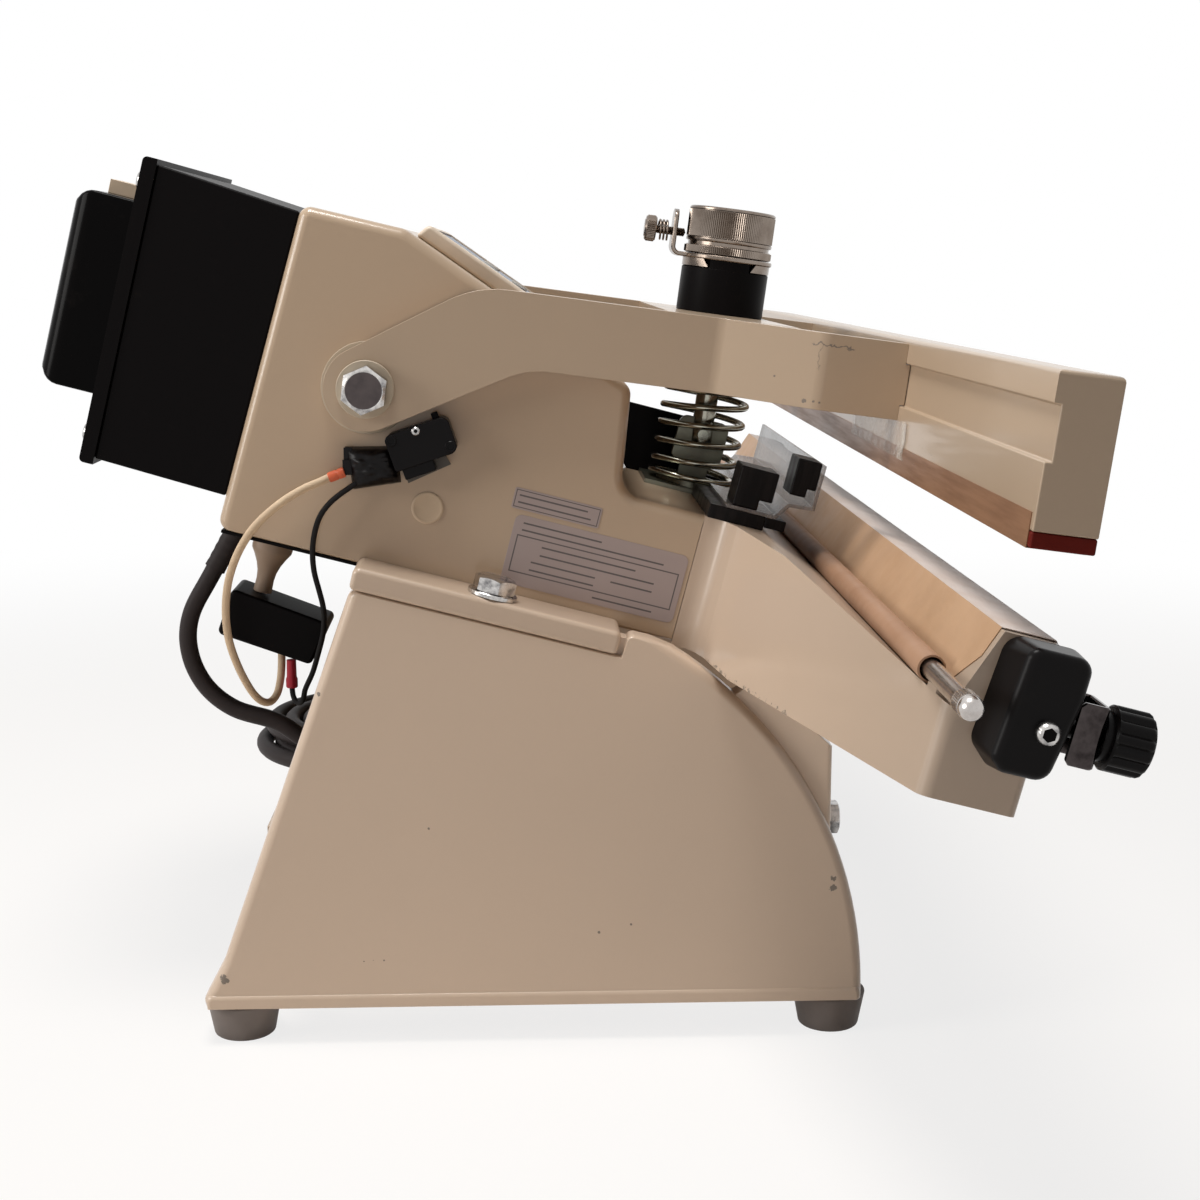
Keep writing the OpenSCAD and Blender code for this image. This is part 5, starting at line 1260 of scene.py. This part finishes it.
def add_pressure_set(fin, ridges):
    """On the arm, upwards: sleeve with metal tabs, lock plate, knurled ring and knurled knob."""
    stand = JAW @ spot(PULL_U, 0, 0)
    top = ARM_TOP + 20.6
    sleeve = turned(bmesh.new(), [
        (5.4, ARM_TOP), (19.9, ARM_TOP), (20.3, ARM_TOP + 0.4), (20.3, top - 0.5), (19.8, top),
        (14, top), (14, top + 3.8), (5.4, top + 3.8), (5.4, ARM_TOP),
    ], stand, 96)
    for a in (-117, 63):
        sector(sleeve, stand, 13.8, 20.2, a, a + 54, top - 0.6, top + 3.7, bevel=0)
    add_piece("sleeve_form", sleeve, "arm", fin["black_satin"], ("pressure_sleeve",))
    tabs = bmesh.new()
    for a in (-60, 120):
        sector(tabs, stand, 14.1, 20.4, a + 3, a + 117, top + 0.1, top + 3.7, bevel=4)
    add_piece("sleeve_tabs", tabs, "arm", fin["plated"])
    dress("pull_rod", fin["olive_zinc"], 0.35, "arm")
    plate = turned(bmesh.new(), [
        (5.8, 72), (20.8, 72), (21.2, 72.4), (21.2, 73.6), (20.8, 74), (5.8, 74), (5.8, 72),
    ], stand, 96)
    bent_strip(plate, ((140, 73), (125.8, 73), (125.8, 93)), 2.0, 8, 3.2, JAW, 5)
    add_piece("lock_plate", plate, "arm", fin["plated"], ("lock_bracket",))

    knurl = {"Count": 130, "Ridge": 0.45, "Finish": fin["plated"]}
    ring = turned(bmesh.new(), [
        (5.3, 74.3), (19.6, 74.3), (20.0, 74.7), (20.0, 77.9), (19.6, 78.3), (5.3, 78.3), (5.3, 74.3),
    ], stand, 128)
    grow(ring, ridges, stand @ spot(0, 0, 76.3), Radius=20.0, Height=3.0, **knurl)
    add_piece("ring_form", ring, "knob", fin["plated"], ("pressure_ring",), turn=False)
    knob = turned(bmesh.new(), [
        (0, 92.6), (5.3, 92.6), (5.3, 78.3), (19.0, 78.3), (19.0, 79.8), (19.9, 80.1), (20.1, 80.5),
        (20.1, 81.5), (19.6, 81.9), (19.6, 94.2), (20.1, 94.5), (20.1, 95.2), (19.4, 95.8), (15.2, 95.8),
        (14.6, 95.1), (6.4, 95.1), (6.0, 94.6), (6.0, 93.2), (0, 93.2),
    ], stand, 128)
    grow(knob, ridges, stand @ spot(0, 0, 88.05), Radius=19.7, Height=12.0, **knurl)
    add_piece("knob_form", knob, "knob", fin["plated"], ("pressure_knob",), turn=False)


def add_lock_screw(fin, ridges):
    """The lock screw with its knurled head, thread and small spring."""
    axis = JAW @ spot(0, 0, LOCK_W) @ ALONG_X
    thread = [(THREAD_R - THREAD_DEEP * (i % 2), THREAD_START + THREAD_HALF_PITCH * i) for i in range(34)]
    screw = turned(bmesh.new(), [
        (0, 111.8), (3.8, 111.8), (4.2, 112.2), (5.2, 112.2), (5.7, 112.7), (5.7, 116.8), (5.3, 117.3),
        *thread, (0, 131.2),
    ], axis, 64)
    knurl = {"Count": 44, "Radius": 5.6, "Ridge": 0.4, "Height": 3.6, "Finish": fin["plated"]}
    grow(screw, ridges, axis @ spot(0, 0, 114.8), **knurl)
    wire, count = [], LOCK_SPRING_TURNS * LOCK_SPRING_STEPS
    for i in range(count + 1):
        a, u = TAU * i / LOCK_SPRING_STEPS, LOCK_SPRING_START + i * LOCK_SPRING_LONG / count
        wire.append(Vector((u, LOCK_SPRING_R * math.cos(a), LOCK_W + LOCK_SPRING_R * math.sin(a))))
    tube(screw, wire, 0.5, 10, JAW)
    add_piece("lock_screw_form", screw, "lock", fin["plated"], ("lock_screw",), turn=False)


# Lower beam and its ends

RIDGE_FOOT_U, RIDGE_FOOT_W = 210.0, -31.0
BLOCK_SCREW_U, BLOCK_SCREW_Y, BLOCK_SCREW_W = 235.5, 351.9, -28.9
CLOTH_HALF, CLOTH_FLARE, CLOTH_STEPS = 318, 13, 160
FLARE_FROM, FLARE_RISE = -27, 13
ROLL_U, ROLL_W, ROLL_HALF = 206.4, -24.4, 315
ROD_TIP_R, ROD_TIP_Y, ROD_KNURL_Y = 3.9, 368.1, 362.7
FLUTES = 14


def rear_top(a, b, n):
    """Edges between the top and a rear or end wall, behind the sealing ridge."""
    up = max(n, key=lambda v: v.z)
    wall = min(n, key=lambda v: abs(v.z))
    upright = up.z > 0.7 and abs(wall.z) < 0.3 and wall.x < 0.4
    return upright and max(a.x, b.x) < RIDGE_FOOT_U - 1 and min(a.z, b.z) > RIDGE_FOOT_W + 2


def add_beam(fin):
    """Lower beam, sheet clamp and, at each end, a block, a bent bracket and a socket screw."""
    rules = ((0, behind(BEAM_SEAM + 0.1)), (4.2, rear_top))
    dress("lower_beam", fin["shaded_enamel_beam"], 0.9, place=UNIT, rules=rules, segments=5)
    dress("sheet_clamp", fin["brushed"], 0.5)
    blocks, brackets, screws, sockets = (bmesh.new() for _ in range(4))
    for side in (-1, 1):
        end_block(blocks, side)
        lying = UNIT @ Matrix(((1, 0, 0, 0), (0, 0, side, 0), (0, 1, 0, KNOB_W), (0, 0, 0, 1)))
        bend = ((241, 300), (241, 329), (253.4, 329), (253.4, 347), (245, 347))
        bent_strip(brackets, bend, 2.0, 10, 1.5, lying, 1.2)
        stand = UNIT @ spot(BLOCK_SCREW_U, side * BLOCK_SCREW_Y, BLOCK_SCREW_W) @ outward(side)
        pan_screw(screws, stand, 8, 3.4, hexagon(4))
        # Painted shade: black discs fill the hex sockets of the block screws, standing in for the shade in the
        # recesses.
        turned(sockets, [(0, 2.2), (2.25, 2.2), (2.25, 3.1), (0, 3.1)], stand)
    add_piece("end_block_forms", blocks, "frame", fin["black_grip"], ("end_blocks",))
    # The brackets take the darkened steel: painted reflection.
    add_piece("bracket_forms", brackets, "frame", fin["stainless"], ("end_brackets",))
    add_piece("block_screws", screws, "frame", fin["steel"])
    add_piece("block_sockets", sockets, "frame", fin["black_satin"])


def end_block(bm, side):
    """Black end piece: soft corners, a slanting rear flank and a raised outer panel."""
    corners = (
        (218.4, -39.4, 6, 1.5), (226, -46.4, 5, 2.4), (242.5, -46.4, 7.5, 2.6), (246.5, -18, 8, 2.6),
        (246.5, -4.6, 6, 0.2), (220.5, -4.6, 6, 3.8),
    )
    length, rim, rows = 17.0, 2.6, []
    for k in range(-4, 9):
        y = (k + 4) / 4 * (length - rim) if k < 0 else length - rim * (1 - math.sin(math.pi / 16 * k))
        soft = rim * (1 - math.cos(math.pi / 16 * max(k, 0)))
        ring = [(x, z, r, slant * y / length + soft) for x, z, r, slant in corners]
        rows.append([(p.x, side * (BEAM_Y + y), p.y) for p in inset_outline(ring, 1.0)])
    skin(bm, rows, UNIT)


def add_release_sheet(fin):
    """The tan cloth: over the front edge, the ribbon and down the ridge's rear slope, a little uneven."""
    ribbon, ridge_rear = RIDGE_TOP + 0.3, 219.5
    ridge_foot = Vector((RIDGE_FOOT_U, RIDGE_FOOT_W))
    rise = (Vector((ridge_rear, RIDGE_TOP)) - ridge_foot).normalized()
    front = ((BEAM_FRONT, -17.6), (BEAM_FRONT, RIDGE_TOP - 3.5), (237, ribbon), (ridge_rear, ribbon))
    line = [*(Vector(p) for p in front), ridge_foot + 3.4 * rise]
    fine = []
    for a, b in zip(line, line[1:]):
        count = max(3, int((b - a).length / 2))
        fine += [a + (b - a) * i / count for i in range(count)]
    fine.append(line[-1])
    bm, grid, last = bmesh.new(), {}, len(fine) - 1
    for j in range(CLOTH_STEPS + 1):
        for i, p in enumerate(fine):
            reach = CLOTH_HALF + CLOTH_FLARE * min(max((p.y - FLARE_FROM) / FLARE_RISE, 0), 1)
            y = reach * (2 * j / CLOTH_STEPS - 1)
            way = (fine[min(i + 1, last)] - fine[max(i - 1, 0)]).normalized()
            out = Vector((way.y, -way.x))
            wave = 0.12 * noise.noise(Vector((p.x * 0.06, y * 0.02, p.y * 0.06))) if 0 < i < last else 0
            pair = [p + out * (lift + max(wave, 0)) for lift in (0.02, 0.3)]
            grid[j, i] = [bm.verts.new(UNIT @ Vector((q.x, y, q.y))) for q in pair]
    close_shell(bm, grid, CLOTH_STEPS, last)
    piece = add_piece("release_cloth", bm, "frame", fin["sheet"], ("release_sheet",), smooth_deg=30)


def add_end_knobs(fin):
    def fluted(r):
        return lambda a: r - 1.1 * (0.5 - 0.5 * math.cos(FLUTES * a)) ** 2

    for side, node, body in ((-1, "end_knob_near", "near_knob"), (1, "end_knob_far", "far_knob")):
        axis = UNIT @ spot(0, side * KNOB_Y, KNOB_W) @ ALONG_X
        knob = turned(bmesh.new(), [
            (0, 235), (2.9, 235), (2.9, 254.8), (7.6, 254.8), (8.0, 255.2), (8.0, 257.3), (9.6, 257.3),
            (10.3, 257.9), (fluted(10.45), 258.8), (fluted(10.45), 268.6), (fluted(9.9), 269.7),
            (8.9, 270.3), (7.6, 270.3), (7.2, 269.8), (0, 269.8),
        ], axis, 168)
        add_piece(node + "_form", knob, body, fin["black_grip"], (node,))


def add_roll(fin, ridges):
    """The spare sheet on its rod; both ends of the rod are knurled and domed."""
    axis = UNIT @ spot(ROLL_U, 0, ROLL_W) @ outward(1)

    def wound(a):
        return 4.8 - 0.3 * a / TAU

    ends = ((3.95, -ROLL_HALF), (wound, -ROLL_HALF), (wound, ROLL_HALF), (3.95, ROLL_HALF))
    roll = turned(bmesh.new(), [*ends, ends[0]], axis, 48)
    add_piece("roll_form", roll, "roll", fin["roll"], ("sheet_roll",), smooth_deg=30)
    slopes = (1.5, 1.2, 0.9, 0.6, 0.3)
    tip = [(ROD_TIP_R * math.sin(a), ROD_TIP_Y + ROD_TIP_R * math.cos(a)) for a in slopes]
    half = [
        (3.2, 356), (3.2, 358.6), (3.7, 359.2), (3.7, 366.2), (3.3, 366.5), (3.3, 367.0), (3.9, 367.4), *tip,
        (0, 372),
    ]
    rod = turned(bmesh.new(), [(r, -y) for r, y in half[::-1]] + half, axis, 48)
    knurl = {"Count": 36, "Radius": 3.7, "Ridge": 0.36, "Height": 6.6, "Finish": fin["rod"]}
    for y in (-ROD_KNURL_Y, ROD_KNURL_Y):
        grow(rod, ridges, axis @ spot(0, 0, y), **knurl)
    add_piece("roll_rod_form", rod, "roll", fin["rod"], ("roll_rod",), turn=False)


# Guard, switch and lead ends

SWITCH = UNIT @ spot(27.4, -BODY_Y, -16.4) @ rotated(-33, "Y")
SWITCH_WRAP = UNIT @ spot(10.2, -BODY_Y - 0.4, -31.5) @ rotated(-14, "Y")
SWITCH_FACE = -10.3
BOSS_U, BOSS_Y, BOSS_LOW = -27.2, -60.0, -103.27
GUARD_INNER_Y, GUARD_OUTER_Y, GUARD_BLOCK_TOP = 27.5, 104.0, -11.5
HOLDER_INNER_Y, HOLDER_OUTER_Y = -82.0, -103.5


def add_switch(fin):
    """Micro switch with two raised eyes, its wrapped terminals, the flap behind and the button."""
    body = bmesh.new()
    case = ((-13.9, -7.95, 1.5, 1), (13.9, -7.95, 3.5, 1), (13.9, 7.95, 3.5, 1), (-13.9, 7.95, 3.5, 1))
    rounded_slab(body, case, 0, SWITCH_FACE, 0.7, SWITCH)
    box(body, (-11.2, -8.5, -12.4), (2.5, -1.0, -7.5), SWITCH, 0.6)
    for x, z in ((-11.4, 5.2), (11.2, -5.0)):
        eye = SWITCH @ spot(x, SWITCH_FACE, z) @ outward(-1)
        profile = [(0, -0.6), (1.5, -0.6), (1.6, 0.5), (2.2, 0.6), (2.5, 0.3), (2.5, -0.6), (0, -0.6)]
        turned(body, profile, eye, 40)
    add_piece("switch_case", body, "frame", fin["black_grip"], ("switch_body",))
    wrap = pillow(bmesh.new(), ((-8.6, -9.6), (11.3, -6.5), (10.2, 8.8), (-12, 8.4)), 8.6, SWITCH_WRAP, 2.4)
    box(wrap, (-12.2, -4.4, 2.5), (-8.5, -3.6, 8.4), SWITCH_WRAP, 0.2)
    box(wrap, (-12.6, -5.6, -3.0), (-8.5, -4.9, 3.4), SWITCH_WRAP, 0.2)
    add_piece("switch_wrap", wrap, "frame", fin["tape_black"], smooth_deg=60)
    sheet = ((-11, -14.2), (8.6, -12.4), (7.6, -7.4), (-11, -7.4))
    flap = skin(bmesh.new(), [[(x, y, z) for x, z in sheet] for y in (-3.6, -4.1)], SWITCH)
    add_piece("switch_flap", flap, "frame", fin["core"])
    eyelet = turned(bmesh.new(), [
        (0, -0.3), (0.7, -0.3), (0.8, 0.4), (1.4, 0.45), (1.7, 0.2), (1.7, -0.3), (0, -0.3),
    ], SWITCH @ spot(-0.3, SWITCH_FACE, 5.8) @ outward(-1), 40)
    add_piece("switch_eyelet", eyelet, "frame", fin["steel"])
    dress("switch_button", fin["black_satin"], 0.3, "button")


def add_lead_ends(fin):
    """Where the leads end: post and box under the body, cord relief, red boot, crimp and tie."""
    rise = FLOOR_W - BOSS_LOW
    boss = turned(bmesh.new(), [
        (0, 0), (3.9, 0), (4.1, 0.4), (3.9, rise - 24), (4.3, rise - 20.5), (5.5, rise - 16.8),
        (7.2, rise - 13.4), (8.8, rise - 10.8), (9, rise - 9.6), (9, rise), (0, rise),
    ], UNIT @ spot(BOSS_U, BOSS_Y, BOSS_LOW))
    # The post takes the darker moulding: painted shade.
    add_piece("box_boss", boss, "frame", fin["shaded_plastic"], ("cord_gland",))
    relief = turned(bmesh.new(), [(0, -0.5), (5.4, -0.5), (5.7, 0), (5.7, 4), (0, 4)], GLAND)
    ribs = [(5.0 - 0.018 * h - (0.15 if h % 4 in (2, 3) else 0), h) for h in range(RELIEF_LONG)]
    bore = [(4.75, RELIEF_LONG), (4.05, RELIEF_LONG), (4.05, 4), (0, 4)]
    turned(relief, [(0, 0), *ribs, *bore], GLAND @ rotated(180 + RELIEF_LEAN, "Y"))
    add_piece("cord_relief", relief, "frame", fin["cord"])
    boot = [(0, 0), (2.2, 0), (2.6, 0.5), (2.6, 4), (2.2, 5), (2.1, 12.6), (0, 13.1)]
    cap = turned(bmesh.new(), boot, spot(*BLACK_ROUTE[-1]), 32)
    add_piece("wire_boot", cap, "frame", fin["red"], ("wire_caps",))
    crimp = turned(bmesh.new(), [
        (0, 0), (1.9, 0), (2.2, 0.4), (2.2, 2.4), (1.9, 2.9), (2.2, 3.4), (2.2, 6.6), (1.9, CRIMP_LONG),
        (0, CRIMP_LONG),
    ], Matrix.Translation(CRIMP) @ CRIMP_WAY, 32)
    add_piece("wire_crimp", crimp, "frame", fin["orange"])
    dress("junction_box", fin["black_satin"], 1.5)
    dress("cord_tie", fin["black_satin"], 0.3)


def add_guard(fin):
    """Clear guard between black blocks; the two stepped holders stand on the near side."""
    dress("guard_strip", fin["clear"], 0.3)
    blocks = bmesh.new()
    for side in (-1, 1):
        y0, y1 = sorted((side * GUARD_INNER_Y, side * GUARD_OUTER_Y))
        for u0, u1, low in ((151.5, 176, SHELF_W), (176, 185, SHELF_W + 1.5)):
            box(blocks, (u0, y0, low), (u1, y1, GUARD_BLOCK_TOP), UNIT, 0.5)
    rear, front = (160.5, 171.5, 177, -9.9, -5.4, 7.5), (183, 190, 193.5, 0.4, 4.2, 16.4)
    for u0, u1, u2, low, step, top in (rear, front):
        stepped = (
            (u0, low, 0.6, 1), (u1, low, 0.6, 1), (u1, step, 0.4, 1), (u2, step, 0.6, 1),
            (u2, top, 0.8, 1), (u0, top, 0.8, 1),
        )
        rounded_slab(blocks, stepped, HOLDER_INNER_Y, HOLDER_OUTER_Y, 0.8, UNIT)
    add_piece("guard_block_forms", blocks, "frame", fin["black_block"], ("guard_blocks",))


# Main


def show_rest(frame, fin):
    """Gives the CAD nodes that still show their finish."""
    by_slot = {
        "cream_paint": "enamel", "cream_aluminium": "shaded_enamel_beam", "cream_plastic": "cream_plastic",
        "foot_rubber": "foot", "steel": "steel", "plate_metal": "plate", "black_plastic": "black_satin",
        "panel_film": "film", "board": "board", "core_steel": "core", "zinc_steel": "olive_zinc",
        "nickel": "plated", "red_silicone": "silicone", "brown_tape": "tape", "tan_sheet": "sheet",
        "clear_plastic": "clear", "red_plastic": "red", "pale_sleeve": "pale_cord", "black_cord": "cord",
    }
    for part in frame["record"]["subparts"]:
        mesh = frame["nodes"][part["node"]].data
        mesh.materials.clear()
        mesh.materials.append(fin[by_slot[part["material_slot"]]])


def main():
    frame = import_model()
    set_camera()
    set_world()
    set_floor()
    set_lamps()
    fin = make_finishes()
    show_rest(frame, fin)
    ridges, studs = ridge_ring_tree(), stud_grid_tree()
    add_cords(fin)
    add_base(fin)
    add_bolts(fin)
    add_body(fin)
    add_rear(fin)
    add_console(fin, studs)
    add_inside(fin)
    add_spring(fin)
    add_jaw(fin)
    add_pressure_set(fin, ridges)
    add_lock_screw(fin, ridges)
    add_beam(fin)
    add_release_sheet(fin)
    add_end_knobs(fin)
    add_roll(fin, ridges)
    add_guard(fin)
    add_switch(fin)
    add_lead_ends(fin)


main()
